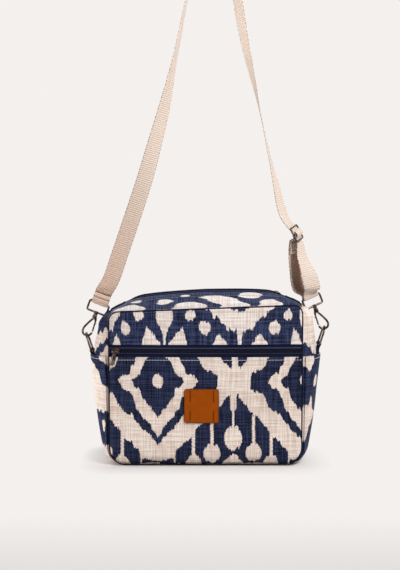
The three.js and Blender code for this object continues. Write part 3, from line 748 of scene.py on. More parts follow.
@dataclass(frozen=True)
class IkatCanvas:
    """Slubbed canvas printed with an ikat of nested diamonds, stems and drops in navy and cream."""

    chart: Chart
    navy_dark: Colour = (0.0025, 0.004, 0.0145, 1.0)
    navy_light: Colour = (0.042, 0.056, 0.130, 1.0)
    cream_dark: Colour = (0.53, 0.395, 0.31, 1.0)
    cream_light: Colour = (0.88, 0.785, 0.725, 1.0)
    sheen: float = 0.08
    half_repeat: float = 105.9
    stem_line: float = 39.1
    diamond_height: float = 123.0
    fold_height: float = 127.0
    upper_half_repeat: float = 108.1
    spade_line: float = -58.9
    thread: float = 1.1
    yarn: float = 1.2
    strand: float = 1.3
    bundle: float = 3.6

    def material(self) -> Material:
        """The finish's material."""
        paint = Painter.named(f"ikat_canvas_{self.chart.value}")
        u, v = paint.fabric()
        across = u + paint.stepped(v, self.strand, 31.0) * 0.5
        along = v + self.ragged(paint, u)
        if self.chart is Chart.TOP:
            cream = self.top(paint, u + self.ragged(paint, v), v)
        elif self.chart is Chart.UPPER:
            cream = self.upper(paint, across, along)
        elif self.chart is Chart.LOWER:
            cream = self.lower(paint, across, along)
        else:
            flank = across.folded(0.0, FLANK_FOLD)
            wall, pocket = (self.left if self.chart is Chart.LEFT else self.right)(paint, flank, along)
            above = (v - HEM_HEIGHT).inside(0.1)
            cream = (above & wall) | ((1.0 - above) & pocket)
        return self.woven(paint, u, v, cream)

    def ragged(self, paint: Painter, across: Number) -> Number:
        """How far bundles of dyed threads and the threads in them slip along, in millimetres."""
        return paint.stepped(across, self.bundle, 0.0) * 1.9 + paint.stepped(across, self.strand, 77.0) * 1.5

    def woven(self, paint: Painter, u: Number, v: Number, cream: Number) -> Material:
        """The print on a plain weave with uneven threads, some of them lighter or darker.

        Args:
            paint: the material's painter.
            u: the place across the cloth.
            v: the place along the cloth.
            cream: a mask of the cream parts.

        Returns:
            The material.
        """
        fine, long, uneven = 0.7, 0.035, 0.13
        weft = paint.noise(paint.point(u * long, v * fine), 1.0)
        warp = paint.noise(paint.point(u * fine, v * long + 40.0), 1.0)
        weft = weft + paint.stepped(v, self.yarn, 5.0) * uneven
        warp = warp + paint.stepped(u, self.yarn, 9.0) * uneven
        slub = ((weft + warp) * 2.2).math("SUBTRACT", 1.72, clamp=True)
        cloud = paint.noise(paint.point(u * 0.05, v * 0.05), 1.0)
        navy = paint.mix(slub * 0.75 + cloud * 0.25, self.navy_dark, self.navy_light)
        pale = paint.mix(slub * 0.7 + cloud * 0.3, self.cream_light, self.cream_dark)
        height = paint.weave(u, v, self.thread) * 0.3 + (weft + warp) * 0.5
        return paint.finish(paint.mix(cream, navy, pale), 0.9 - slub * 0.1, height, 0.35,
                            Sheen_Weight=self.sheen, Sheen_Roughness=0.25,
                            Sheen_Tint=(0.75, 0.82, 1.0, 1.0), Specular_IOR_Level=0.08)

    @staticmethod
    def oval(u: Number, v: Number, middle: Pair, half: Pair) -> Number:
        """A mask of an oval."""
        across, along = (u - middle[0]) / half[0], (v - middle[1]) / half[1]
        return ((1.0 - (across * across + along * along).math("SQRT")) * min(half)).inside()

    def ovals(self, u: Number, v: Number, rows: Sequence[Oval]) -> Number:
        """A mask of several ovals, each given as its middle and half size."""
        return reduce(or_, (self.oval(u, v, *row) for row in rows))

    def lower(self, paint: Painter, u: Number, v: Number) -> Number:
        """Nested diamonds in a lattice, with stems and drops between them: 1 is cream."""
        stem = u.folded(self.stem_line, self.half_repeat)
        away = self.half_repeat - stem
        d = v.folded(self.diamond_height, self.fold_height)
        core, rim, ring, lattice = ((paint.profile(d, rows) - away).inside() for rows in DIAMOND_RINGS)
        point, reach, fall = WEDGE
        wedge = (d - point + (away / reach) ** 1.3 * fall).inside() & (WEDGE_EDGE - away).inside()
        bars = ((half - abs(stem - at)).inside() & d.between(low, high) for at, half, low, high in STEM_BARS)
        mounds = ((paint.profile(d, rows) - abs(stem - at)).inside() for at, rows in STEM_MOUNDS)
        drops = reduce(or_, (*bars, *mounds, self.ovals(stem, d, STEM_DROPS)))
        field = lattice & (1.0 - ring) & (1.0 - wedge)
        return self.oval(away, d, *SEED) | (rim & (1.0 - core)) | field | ((1.0 - lattice) & drops)

    def upper(self, paint: Painter, u: Number, v: Number) -> Number:
        """Spades, flames and dots beside a wide umbrella: 1 is cream."""
        near = u.folded(self.spade_line, self.upper_half_repeat)
        far = self.upper_half_repeat - near
        spade = (paint.profile(v, SPADE) - near).inside()
        flame = (paint.profile(near, FLAME_TOPS) - v).inside(1.2)
        flame = flame & near.between(FLAME_TOPS[0][0], FLAME_TOPS[-1][0])
        mound = (paint.profile(v, UPPER_MOUND) - abs(far - MOUND_PLACE)).inside()
        umbrella = (v - paint.profile(far, UMBRELLA_HEM)).inside(1.2) & (UMBRELLA_HEM[-1][0] - far).inside()
        handle = (paint.profile(v, UMBRELLA_HANDLE) - far).inside() & (UMBRELLA_HANDLE[-1][0] - v).inside()
        foot, reach, rise = NOTCH
        notch = (v - foot - (far / reach) * (far / reach) * rise).inside()
        return spade | flame | self.ovals(near, v, UPPER_DOTS) | mound | handle | (umbrella & (1.0 - notch))

    def top(self, paint: Painter, u: Number, v: Number) -> Number:
        """Ovals and a long leaf on the strips beside the zip: 1 is cream."""
        leaf = v.between(paint.profile(u, LEAF_LOWER), paint.profile(u, LEAF_UPPER))
        return self.ovals(u, v, TOP_OVALS) | (leaf & u.between(LEAF_UPPER[0][0], LEAF_UPPER[-1][0]))

    def left(self, paint: Painter, s: Number, v: Number) -> tuple[Number, Number]:
        """The left side's wall and its slip pocket, by the way from the seam and the height: 1 is cream."""
        blob = v.between(paint.profile(s, LEFT_BLOB_FOOT), paint.profile(s, LEFT_BLOB_TOP))
        wall = blob | (paint.profile(s, LEFT_FLAP_TOP) - v).inside()
        field = v.between(LEFT_FIELD_FOOT, paint.profile(s, LEFT_FIELD_TOP))
        flap = (v - paint.profile(s, LEFT_FLAP_FOOT)).inside()
        return wall, field | self.oval(s, v, *LEFT_SEED) | flap | (LEFT_FOOT_TOP - v).inside()

    def right(self, paint: Painter, s: Number, v: Number) -> tuple[Number, Number]:
        """The right side's wall and its slip pocket, by the way from the seam and the height: 1 is cream."""
        field = v.between(paint.profile(s, RIGHT_FIELD_FOOT), paint.profile(s, RIGHT_FIELD_TOP))
        return (v - paint.profile(s, RIGHT_PEAK)).inside(), field | self.ovals(s, v, RIGHT_SEEDS)


# The pockets' hems, and the way from the front seam to the middle of a side, in millimetres
HEM_HEIGHT = BagForm.hem
FLANK_FOLD = 48.0

# Half widths of the diamond's rings by the height from its middle, in millimetres
DIAMOND_RINGS: tuple[Rows, ...] = (
    ((0, 36.4), (6.2, 33), (8.5, 29.5), (10, 25.5), (12.5, 24.2), (17.5, 23.6), (24, 20.6), (32.5, 14.8),
     (40.5, 6.6), (46.2, 3.2), (51, 0), (54, -3)),
    ((0, 55.6), (3.3, 52.8), (9, 49.5), (11, 44.5), (12, 39), (21, 36.8), (24, 33.6), (29, 31.7),
     (35.5, 30.6), (44.8, 23.6), (53.3, 18.6), (59.8, 10.8), (69, 6.5), (79.7, 0), (84, -3)),
    ((0, 81.6), (9, 81.7), (12.6, 79.3), (15.5, 72), (17.6, 64), (23.3, 59), (30.5, 57), (35.5, 54),
     (42, 45.4), (45.5, 36.7), (52, 32.4), (60.5, 26.2), (69.8, 18.7), (74.8, 12.2), (82.7, 5.5),
     (87, 2.9), (91.4, 0), (95, -3)),
    ((0, 125), (19.4, 112), (19.6, 98.7), (25.5, 93.7), (31, 88.6), (39, 82.9), (47.6, 74.2), (51.2, 67.4),
     (57.6, 64), (63.3, 59), (66.2, 54.8), (72.5, 51.6), (80.5, 45.7), (82, 41), (84.8, 36.9), (91.2, 34.3),
     (93.4, 28.5), (99.8, 25.2), (107.7, 24.5), (127, 24.8)),
)
SEED: Oval = ((0, 0), (7.6, 9.9))
# The dark wedge between two diamonds: the height of its point, its half width and how far its sides fall
WEDGE = (118.0, 22.3, 8.6)
WEDGE_EDGE = 22.5
# Between the diamonds: bars as (distance from the stem, half width, low, high), drops, and mounds
STEM_BARS: Rows = ((0, 4.5, 17.6, 38.9), (0, 1.5, 38, 63.5), (30, 2.2, 47.6, 92), (56, 2.2, 66, 106))
STEM_DROPS: tuple[Oval, ...] = (((0, 79.4), (12.7, 17.2)), ((30, 102), (11.8, 14)))
STEM_MOUNDS: tuple[tuple[float, Rows], ...] = (
    (0, ((98, -3), (101.8, 1), (107.7, 6.2), (112.4, 11.5), (117.7, 16.6), (123.4, 20), (127, 21))),
    (56, ((101, -3), (104.5, 2.5), (107.5, 6.5), (114, 10.5), (122, 12), (127, 12.5))),
)

# The upper stretch, by height or by distance from a mirror line
UPPER_DOTS: tuple[Oval, ...] = (((57.6, 200.3), (8.4, 9.6)), ((37, 219), (7.5, 7.5)))
MOUND_PLACE = 29.1
# The notch in the umbrella's top: the height of its foot, its half width and its rise
NOTCH = (223.9, 14.4, 5.7)
SPADE: Rows = ((150, 1.5), (174.4, 1.5), (185.7, 1.7), (194.2, 3.2), (199.9, 5.8), (205.5, 9.8),
               (209.8, 11.5), (215.4, 12.4), (223.9, 11.5), (239.5, 11.5))
FLAME_TOPS: Rows = ((4.5, 150), (5.8, 177.9), (8.6, 180), (12, 183), (14, 190), (17.9, 191.8), (21.3, 196.3),
                    (25.6, 200.6), (27.4, 195.6), (30, 187.8), (31.7, 181.5), (32.5, 170), (34, 150))
UPPER_MOUND: Rows = ((150, 14), (174, 12.5), (178, 11), (182.5, 7.5), (186.5, 4.5), (189.5, 2.5),
                     (191.5, 0.7), (193, -3))
UMBRELLA_HEM: Rows = ((0, 192), (5, 198.4), (8, 194.9), (10, 197), (14.7, 200.4), (17, 195.6), (19.3, 197.7),
                      (20.2, 203.4), (24.5, 207.7), (29.5, 214), (34.3, 216.9), (36.3, 214.4), (38.6, 216.9),
                      (39.6, 223.2), (44.7, 226), (50.4, 228.9), (54.8, 235), (60, 245))
UMBRELLA_HANDLE: Rows = ((150, 2.4), (176.4, 2.6), (184.9, 3.1), (194.3, 4.3), (200, 5))

# The strips beside the main zip: ovals as (middle, half size), and a leaf's two edges
TOP_OVALS: tuple[Oval, ...] = (
    ((-111, 0), (24, 15.5)), ((-98.4, 23), (7.7, 4)), ((-59.2, 16), (11, 6.2)), ((-30, 28), (6.7, 3)),
    ((-23, 0), (25, 12.6)), ((65, 26), (16.8, 9)), ((93, 0), (17, 15.3)),
)
LEAF_UPPER: Rows = ((-9, 21), (-7, 22), (3, 25), (13.3, 26), (23.4, 24.5), (35, 20.5), (46.6, 14), (58.2, 6),
                    (68.4, 0), (70, -5))
LEAF_LOWER: Rows = ((-9, 21), (-7, 21), (1.7, 15), (13.3, 9.5), (21.2, 5), (23.4, -2), (70, -5))

# Heights of the edges on the sides, by the way from the front seam, and seeds
LEFT_FIELD_FOOT = 78.0
LEFT_FOOT_TOP = 28.0
LEFT_SEED: Oval = ((10.5, 59), (4.8, 8.6))
RIGHT_SEEDS: tuple[Oval, ...] = (((10, 152), (9, 13)), ((27, 121), (5, 8.5)), ((48, 152), (8, 8)))
LEFT_BLOB_TOP: Rows = ((0, 196), (1, 200), (4.8, 203), (7.8, 200), (9.8, 196.5), (14, 196), (18.8, 194),
                       (26, 190), (40, 196), (48, 190))
LEFT_BLOB_FOOT: Rows = ((0, 188), (4, 186), (5.8, 181.5), (15, 177), (21.5, 173), (27, 168.6),
                        (32, 163), (48, 155))
LEFT_FLAP_TOP: Rows = ((0, 178), (2, 175.8), (5.8, 171.5), (7.8, 168.6), (12, 165.7), (14, 162.8), (18, 159),
                       (22, 150), (48, 140))
LEFT_FLAP_FOOT: Rows = ((0, 145), (4, 147), (6, 150.6), (9, 153.5), (14, 155), (18, 158.5), (22, 165),
                        (48, 170))
LEFT_FIELD_TOP: Rows = ((0, 113), (4.5, 114), (10.5, 121), (15, 128), (17.5, 135.5), (21, 140), (29, 145.5),
                        (40, 151), (48, 154))
RIGHT_PEAK: Rows = ((0, 181), (2.9, 177.5), (8.8, 175), (15.3, 171.5), (17.6, 166.4), (25, 161.4), (32, 158),
                    (48, 150))
RIGHT_FIELD_TOP: Rows = ((0, 82), (4, 87), (10, 88.7), (14, 93), (16.5, 98), (20, 97), (21.5, 86),
                         (26, 78), (48, 70))
RIGHT_FIELD_FOOT: Rows = ((0, 30), (4, 34), (9, 44), (15, 52), (24, 62), (48, 78))


@dataclass(frozen=True)
class PlainCloth:
    """A plain woven cloth in one dyed colour, with thin pale lines painted where asked as painted highlights.
    """

    name: str
    dark: Colour
    light: Colour
    thread: float = 0.8
    pale_lines: tuple[float, ...] = ()
    # The colour of the painted highlight lines
    pale: Colour = (0.060, 0.070, 0.140, 1.0)

    def material(self) -> Material:
        """The finish's material."""
        paint = Painter.named(self.name)
        u, v = paint.fabric()
        over_under = paint.weave(u, v, self.thread)
        streak = paint.noise(paint.point(u * 0.06, v * 1.4), 1.0)
        colour = paint.mix(streak * 0.7 + over_under * 0.15 + 0.15, self.dark, self.light)
        # Painted highlight lines
        for line in self.pale_lines:
            colour = paint.mix((0.55 - abs(u - line)).inside(0.5), colour, self.pale)
        return paint.finish(colour, 0.9 - streak * 0.12, over_under * 0.5 + streak, 0.2,
                            Specular_IOR_Level=0.03)


@dataclass(frozen=True)
class Thread:
    """Twisted sewing thread."""

    name: str
    dark: Colour
    light: Colour
    sheen: float = 0.2

    def material(self) -> Material:
        """The finish's material."""
        paint = Painter.named(self.name)
        twist = paint.noise(paint.solid_place(), 900.0, 1.0)
        return paint.finish(paint.mix(twist, self.dark, self.light), 0.85 - twist * 0.15, twist, 0.1,
                            Sheen_Weight=self.sheen, Specular_IOR_Level=0.1)


@dataclass(frozen=True)
class ZipTeeth:
    """Dyed nylon of the zips' coils, with a soft gloss."""

    dark: Colour = (0.0025, 0.003, 0.009, 1.0)
    light: Colour = (0.011, 0.013, 0.032, 1.0)

    def material(self) -> Material:
        """The finish's material."""
        paint = Painter.named("zip_teeth")
        wear = paint.noise(paint.solid_place(), 420.0, 2.0)
        return paint.finish(paint.mix(wear, self.dark, self.light), 0.5 + wear * 0.15, wear, 0.05,
                            Specular_IOR_Level=0.14)


@dataclass(frozen=True)
class Nickel:
    """Dark nickel plate, rubbed lighter in places."""

    dark: Colour = (0.018, 0.0145, 0.0125, 1.0)
    rubbed: Colour = (0.30, 0.225, 0.185, 1.0)

    def material(self) -> Material:
        """The finish's material."""
        paint = Painter.named("dark_nickel")
        place = paint.solid_place()
        wear = (paint.noise(place, 160.0, 3.0) * 2.4 - 0.75).clamped()
        fine = paint.noise(place, 1400.0, 2.0)
        colour = paint.mix(wear, self.dark, self.rubbed)
        return paint.finish(colour, 0.24 + fine * 0.16, fine, 0.02, Metallic=1.0)


@dataclass(frozen=True)
class Leather:
    """Smooth tan leather, darker at its cut edges and in its pressed lines."""

    half_size: float = 25.0
    lines: Pair = (-16.2, 17.1)
    spans: tuple[Pair, ...] = ((6.3, 22.8), (-22.6, -7.4))
    lit: Colour = (0.35, 0.075, 0.001, 1.0)
    shade: Colour = (0.23, 0.041, 0.0006, 1.0)
    burnt: Colour = (0.06, 0.012, 0.001, 1.0)

    def material(self) -> Material:
        """The finish's material."""
        paint = Painter.named("tan_leather")
        u, v = paint.fabric()
        place = paint.point(u, v)
        cloud = paint.noise(place, 0.09, 3.0)
        pores = paint.node("ShaderNodeTexVoronoi", {"feature": "DISTANCE_TO_EDGE"},
                           {"Vector": place, "Scale": 1.3})
        grain = Number(paint, pores.outputs["Distance"])
        dark = (abs(u) | abs(v)).math("SUBTRACT", self.half_size - 1.1).inside(1.6) * 0.75
        for line in self.lines:
            for low, high in self.spans:
                span = (high - low) / 2 - abs(v - (high + low) / 2)
                dark = dark | (((0.75 - abs(u - line)).inside(0.8) & span.inside()) * 0.85)
        colour = paint.mix(dark, paint.mix(cloud * 0.8 + grain * 0.4, self.shade, self.lit), self.burnt)
        return paint.finish(colour, 0.62 - cloud * 0.12, grain * 0.6 + cloud, 0.12, Specular_IOR_Level=0.06)


@dataclass(frozen=True)
class RibbedWebbing:
    """Cream cotton webbing, woven in ribs across its length, with painted shade in the ribs' hollows, inside
    its loop and, warmer, towards its left end.
    """

    rib: float = 3.0
    # The colour of the ribs' hollows: painted shade, mixed below with the yarn's uneven tone
    groove: Colour = (0.36, 0.265, 0.205, 1.0)
    crest: Colour = (0.78, 0.66, 0.57, 1.0)
    # Painted warm shade, strongest at the strap's left end
    handled: Colour = (0.79, 0.57, 0.455, 1.0)
    gap: Colour = (0.10, 0.065, 0.045, 1.0)
    edge: float = 11.5
    edge_pitch: float = 6.0
    # How far along the strap the painted warm shade reaches, and the length it fades over
    clean_from: float = 225.0
    clean_over: float = 150.0
    # Painted shade on the inner face of the strap's loop by the slide
    soiled: Colour = (0.30, 0.165, 0.11, 1.0)
    loop_from: float = 1200.0
    loop_half: float = 9.2

    def material(self) -> Material:
        """The finish's material."""
        paint = Painter.named("ribbed_webbing")
        u, v = paint.fabric()
        under = (u - UNDERSIDE / 2).inside()
        u = u - under * UNDERSIDE
        ends = (u * (math.tau / 1.25)).math("SINE")
        ribs = (v * (math.tau / self.rib)).math("COSINE")
        uneven = paint.noise(paint.point(u * 0.5, v * 0.5), 1.0, 3.0)
        # Darker where the ribs dip: painted shade of the rib hollows, with uneven yarn tone
        crest = (ribs * 0.2 + ends * 0.1 + uneven * 0.6 + 0.36).clamped()
        # Painted warm shade towards the strap's left end
        warm_shade_share = ((self.clean_from - v) / self.clean_over).clamped()
        colour = paint.mix(crest, self.groove, paint.mix(warm_shade_share, self.crest, self.handled))
        dots = (v * (math.tau / self.edge_pitch)).math("SINE").inside(0.8)
        loops = dots & (abs(u) - self.edge).inside(0.4)
        colour = paint.mix(loops * 0.8, colour, self.gap)
        # Painted shade inside the loop, on the band's underside only
        loop_shade_mask = under & (v - self.loop_from).inside(20.0) & (self.loop_half - abs(u)).inside(2.0)
        colour = paint.mix(loop_shade_mask * 0.85, colour, self.soiled)
        return paint.finish(colour, 0.92 - uneven * 0.1, ribs * 0.3 + ends * 0.25 + uneven * 0.3, 0.25,
                            Sheen_Weight=0.15, Specular_IOR_Level=0.2)


@dataclass
class ClothShell:
    """One cloth wall: a grid over a surface, lifted by an offset and thickened inwards."""

    name: str
    columns: Array
    rows: Array
    surface: Surface
    offset: Surface
    chart: Surface
    thickness: float = 1.5
    step: float = 0.01

    def build(self) -> Piece:
        """The wall as a piece with its place on the cloth in the fabric map."""
        u, v = np.meshgrid(self.columns, self.rows)
        points = self.lifted(u, v)
        across, up = len(self.columns), len(self.rows)
        corner = np.arange(across * up).reshape(up, across)
        faces = np.stack([corner[:-1, :-1], corner[:-1, 1:], corner[1:, 1:], corner[1:, :-1]], axis=-1)
        chart = self.chart(u, v).reshape(-1, 2)
        piece = Bench.mesh(self.name, points.reshape(-1, 3), faces.reshape(-1, 4).tolist(), chart)
        Bench.apply(piece, "SOLIDIFY", thickness=self.thickness * MM, offset=-1.0, use_even_offset=False)
        return Bench.smooth(piece, 50.0)

    def lifted(self, u: Array, v: Array, more: float = 0.0) -> Array:
        """Points of the wall's outer face, and as much more out."""
        lift = self.offset(u, v) + more
        return self.surface(u, v) + self.normals(u, v) * lift[..., None]

    def normals(self, u: Array, v: Array) -> Array:
        """The surface's outward directions."""
        across = self.surface(u + self.step, v) - self.surface(u - self.step, v)
        up = self.surface(u, v + self.step) - self.surface(u, v - self.step)
        return unit(np.cross(across, up))


@dataclass(frozen=True)
class Topstitch:
    """Rows of separate stitches that dip into the cloth at both ends."""

    length: float = 3.3
    pitch: float = 4.0
    radius: float = 0.34
    sides: int = 5
    rings: Rows = ((0.0, -0.3), (0.12, 0.15), (0.88, 0.15), (1.0, -0.3))

    def along(self, points: Array, outward: Array) -> tuple[Array, Array]:
        """The stitches along a line.

        Args:
            points: the line on the cloth, one point a row.
            outward: the cloth's outward direction at each.

        Returns:
            The stitches' corners, and their faces with four corners each.
        """
        way = way_along(points)
        starts = np.arange(self.pitch / 4, way[-1] - self.length, self.pitch)
        shares, lifts = np.array(self.rings).T
        at = starts[:, None] + shares * self.length
        middle, out = read_rows(at, way, points), unit(read_rows(at, way, outward))
        forward = unit(middle[:, -1] - middle[:, 0])[:, None, :] + 0.0 * middle
        aside = np.cross(forward, out)
        turn = np.linspace(0.0, math.tau, self.sides, endpoint=False)
        ring = (np.cos(turn)[:, None] * aside[:, :, None, :] + np.sin(turn)[:, None] * out[:, :, None, :])
        corners = (middle + out * lifts[:, None])[:, :, None, :] + ring * self.radius
        near = np.arange(self.sides)
        far = np.roll(near, -1)
        tube = np.concatenate([np.stack([near, far, far + self.sides, near + self.sides], 1) + k * self.sides
                               for k in range(len(shares) - 1)])
        first = np.arange(len(starts)) * len(shares) * self.sides
        return corners.reshape(-1, 3), (tube[None] + first[:, None, None]).reshape(-1, 4)

    def row(self, name: str, lines: Sequence[tuple[Array, Array]]) -> Piece:
        """One piece of the stitches along several lines.

        Args:
            name: the piece's name.
            lines: each line's points and outward directions.

        Returns:
            The new piece.
        """
        corners, faces, count = [], [], 0
        for points, outward in lines:
            more, quads = self.along(points, outward)
            corners.append(more)
            faces.extend((quads + count).tolist())
            count += len(more)
        return Bench.smooth(Bench.mesh(name, np.vstack(corners), faces), 60.0)


@dataclass(frozen=True)
class Ribbon:
    """A flat woven band along a route, with soft edges and ribs across it."""

    width: float
    thickness: float
    columns: int = 9
    rib: float = 0.0
    rib_height: float = 0.0
    edge_thin: float = 0.55

    def build(self, name: str, points: Array, sides: Array) -> Piece:
        """The band as a closed piece.

        Args:
            name: the piece's name.
            points: the middle of the band, one point a row.
            sides: the direction of its width at each.

        Returns:
            The new piece.
        """
        along = unit(np.gradient(points, axis=0))
        across = unit(sides - along * np.sum(sides * along, axis=1, keepdims=True))
        face = np.cross(along, across)
        way = way_along(points)
        wave = np.cos(way * math.tau / self.rib) if self.rib else 0.0 * way
        place = np.linspace(-1.0, 1.0, self.columns)
        half = self.thickness / 2 * (1.0 - self.edge_thin * np.abs(place) ** 8)
        wide = (self.width / 2 + 0.5 * self.rib_height * wave)[:, None] * place
        lift = half + self.rib_height * wave[:, None] * (1.0 - place ** 4)
        flat = points[:, None, :] + across[:, None, :] * wide[..., None]
        upper = flat + face[:, None, :] * lift[..., None]
        under = flat - face[:, None, :] * lift[..., None]
        ring = np.concatenate([upper, under[:, ::-1]], axis=1)
        count, sides_count = ring.shape[:2]
        corner = np.arange(count * sides_count).reshape(count, sides_count)
        turned = np.roll(corner, -1, axis=1)
        faces = np.stack([corner[:-1], corner[1:], turned[1:], turned[:-1]], axis=-1).reshape(-1, 4).tolist()
        near = range(self.columns - 1)
        last = 2 * self.columns - 1
        for row, flip in ((corner[0], False), (corner[-1], True)):
            for i in near:
                cap = [row[i], row[i + 1], row[last - i - 1], row[last - i]]
                faces.append([int(k) for k in (cap[::-1] if flip else cap)])
        reach = np.concatenate([place, place[::-1]]) * self.width / 2
        reach[self.columns:] += UNDERSIDE
        fabric = np.stack([np.tile(reach, count), np.repeat(way, sides_count)], axis=1)
        piece = Bench.mesh(name, ring.reshape(-1, 3), faces, fabric)
        Bench.outward(piece)
        return Bench.smooth(piece, 60.0)


@dataclass
class BodyCloth:
    """The sewn body: panels, pocket, sides, base and domed top, with their hems and stitches."""

    form: BagForm
    cloth_gap: float = 0.3
    cloth: float = 1.8
    grain: float = 2.6
    roll: float = 2.3
    roll_reach: float = 4.2
    # The seam cord's diameter; the cord is painted shade in the seams' creases
    binding: float = 2.0
    pucker: float = 0.22
    pucker_pitch: float = 11.0
    pucker_at: float = 4.0
    pucker_reach: float = 5.0
    fine_pitch: float = 7.3
    fine_share: float = 0.6
    slack: Pair = (0.5, 0.3)
    slack_waves: tuple[float, ...] = (31.0, 47.0, 38.0, 17.0, 60.0)
    slack_reach: float = 30.0
    cut_halves: Pair = (108.6, 103.2)
    cut_aside: float = 0.7
    pull: float = 2.6
    drop: float = 2.2
    gathers: Pair = (-117.0, 119.5)
    gather_share: float = 0.6
    stretch: float = 0.012
    foot_lifts: Rows = ((2.4, -65, 24), (2, 71, 13))
    foot_gap: float = 0.2
    belly: float = 4.0
    lining_behind: float = 4.4
    lining_rise: float = 6.0
    lining_grain: float = 6.0
    lining_thickness: float = 0.8
    hem_fold: float = 9.0
    hem_rise: float = 0.45
    hem_stitch: float = 4.2
    gape: float = 3.4
    gape_fade: float = 55.0
    pocket_seam: float = 2.2
    side_pocket_start: float = 131.0
    zip_slot: float = 6.0
    zip_fold: float = 0.8
    zip_swell: float = 0.35
    top_stitch: float = 21.5
    # How the seam cord drops at the foot, and on the front comes forward, as a painted contact shadow
    binding_foot: Pair = (3.4, 12.0)
    binding_out: float = 1.6
    binding_drop: float = 1.4

    def drawn_in(self, distance: Array) -> Array:
        """How a seam turns the cloth in, by the distance from it."""
        return -self.roll * (1.0 - smoothstep(distance, 0.0, self.roll_reach))

    def edge(self, distance: Array, along: Array) -> Array:
        """How a seam draws and puckers the cloth, by the distance from it and the place along it."""
        turn = along * math.tau
        wave = np.sin(turn / self.pucker_pitch) + self.fine_share * np.sin(turn / self.fine_pitch + 1.0)
        near = bump(distance, self.pucker_at, self.pucker_reach)
        return self.drawn_in(distance) + self.pucker * wave * near

    def hem_step(self, above: Array) -> Array:
        """The lift of a hem's fold, by the distance above the hem."""
        return self.hem_rise * smoothstep(above, -self.hem_fold - 1.0, -self.hem_fold + 1.0)

    def front_offset(self, share: Array, z: Array) -> Array:
        """The front's lift: drawn in at its seams, with slight waves of slack cloth."""
        x = share * self.form.half_width_at(z)
        inside = self.form.seam_distance(share, z)
        wide, tall, high, fine, steep = self.slack_waves
        broad, narrow = self.slack
        waves = (broad * np.sin(x / wide + z / tall) * np.sin(z / high + 0.7)
                 + narrow * np.sin(x / fine - z / steep))
        return self.edge(inside, x + z) + waves * smoothstep(inside, 0.0, self.slack_reach)

    def panel_rows(self, low: float, high: float, pitch: float) -> Array:
        """Heights between a panel's two edges, closer together where the edge runs into round corners.

        Args:
            low: the lower edge.
            high: the upper edge.
            pitch: the distance between other rows.

        Returns:
            The heights.
        """
        form, turn = self.form, 1.0 - np.cos(np.linspace(0.0, math.pi / 2, 12))
        lows = low + form.bottom_radius * turn if low < form.bottom_radius else np.array([low])
        highs = (high - form.top_radius * turn)[::-1] if high == form.top else np.array([high])
        return np.concatenate([lows, spread(lows[-1], highs[0], pitch)[1:-1], highs])

    @property
    def shares(self) -> Array:
        """Columns of a panel, closer together at its side seams."""
        return crowded(121, 0.25)

    @property
    def depths(self) -> Array:
        """Rows of the sides, closer together at the seams."""
        return crowded(41, 0.35) * self.form.band_half_depth

    def front_chart(self, share: Array, z: Array) -> Array:
        """The place on the printed cloth of the front pocket; the cloth is cut a little off the repeat."""
        x = share * self.form.half_width_at(z)
        from_stem = x - IkatCanvas.stem_line
        half = np.where(from_stem < 0.0, *self.cut_halves)
        across = IkatCanvas.stem_line + from_stem * IkatCanvas.half_repeat / half
        pulled = self.pull * smoothstep(z, 95.0, 135.0) * bump(x, 25.0, 45.0)
        low = self.drop * (1.0 - smoothstep(z, 75.0, 105.0))
        return np.stack([across - self.cut_aside - pulled, z + low + self.form.sag(across, z)], axis=-1)

    def upper_chart(self, share: Array, z: Array) -> Array:
        """The place on the printed cloth above the zip, which is drawn together at both ends."""
        x = share * self.form.half_width_at(z)
        left, right = self.gathers
        gathered = np.minimum(x - left, 0.0) + self.gather_share * np.maximum(x - right, 0.0)
        across = x + gathered + self.stretch * np.maximum(x, 0.0)
        return np.stack([across, z + self.form.sag(x, z)], axis=-1)

    def front_pocket(self) -> ClothShell:
        """The front pocket's wall, with a folded hem along its mouth and its foot lifted here and there."""
        rows = self.panel_rows(self.form.bottom, self.form.hem, self.grain)

        def surface(share: Array, z: Array) -> Array:
            """The panel with a low belly, and its foot lifted between the places where it rests."""
            points = self.form.panel(share, z)
            x = points[..., 0]
            lifts = sum(rise * bump(x, middle, half, 4) for rise, middle, half in self.foot_lifts)
            points[..., 2] += (lifts + self.foot_gap) * (1.0 - smoothstep(z, 2.0, 20.0))
            low = smoothstep(z, 2.0, 15.0) * (1.0 - smoothstep(z, 24.0, 58.0))
            points[..., 1] -= self.belly * low * (1.0 - share ** 8)
            return points

        def offset(share: Array, z: Array) -> Array:
            """The front's lift and the fold of the hem."""
            return self.front_offset(share, z) + self.hem_step(z - self.form.hem)
        return ClothShell("front_pocket_cloth", self.shares, rows, surface, offset, self.front_chart)

    def front_upper(self) -> ClothShell:
        """The front above the pocket's zip."""
        rows = self.panel_rows(self.form.zip_top, self.form.top, self.grain)
        return ClothShell("front_upper_cloth", self.shares, rows, self.form.panel, self.front_offset,
                          self.upper_chart)

    def back_panel(self) -> ClothShell:
        """The back, in one piece."""
        rows = self.panel_rows(self.form.bottom, self.form.top, self.grain)
        return ClothShell("back_panel_cloth", self.shares, rows,
                          lambda share, z: self.form.panel(-share, z, Facing.BACK),
                          lambda share, z: self.front_offset(-share, z), self.front_chart)

    def pocket_lining(self) -> ClothShell:
        """The wall behind the front pocket."""
        rise = self.lining_rise
        rows = self.panel_rows(self.form.bottom + rise, self.form.zip_top + rise, self.lining_grain)
        return ClothShell("pocket_lining_cloth", np.linspace(-0.965, 0.965, 41), rows, self.form.panel,
                          lambda share, z: 0.0 * share - self.lining_behind, self.upper_chart,
                          self.lining_thickness)

    def side_surface(self, side: Side) -> Surface:
        """A side's surface, by the distance along the outline and the depth."""
        return lambda along, y: self.form.band(side.value * along, -side.value * y)

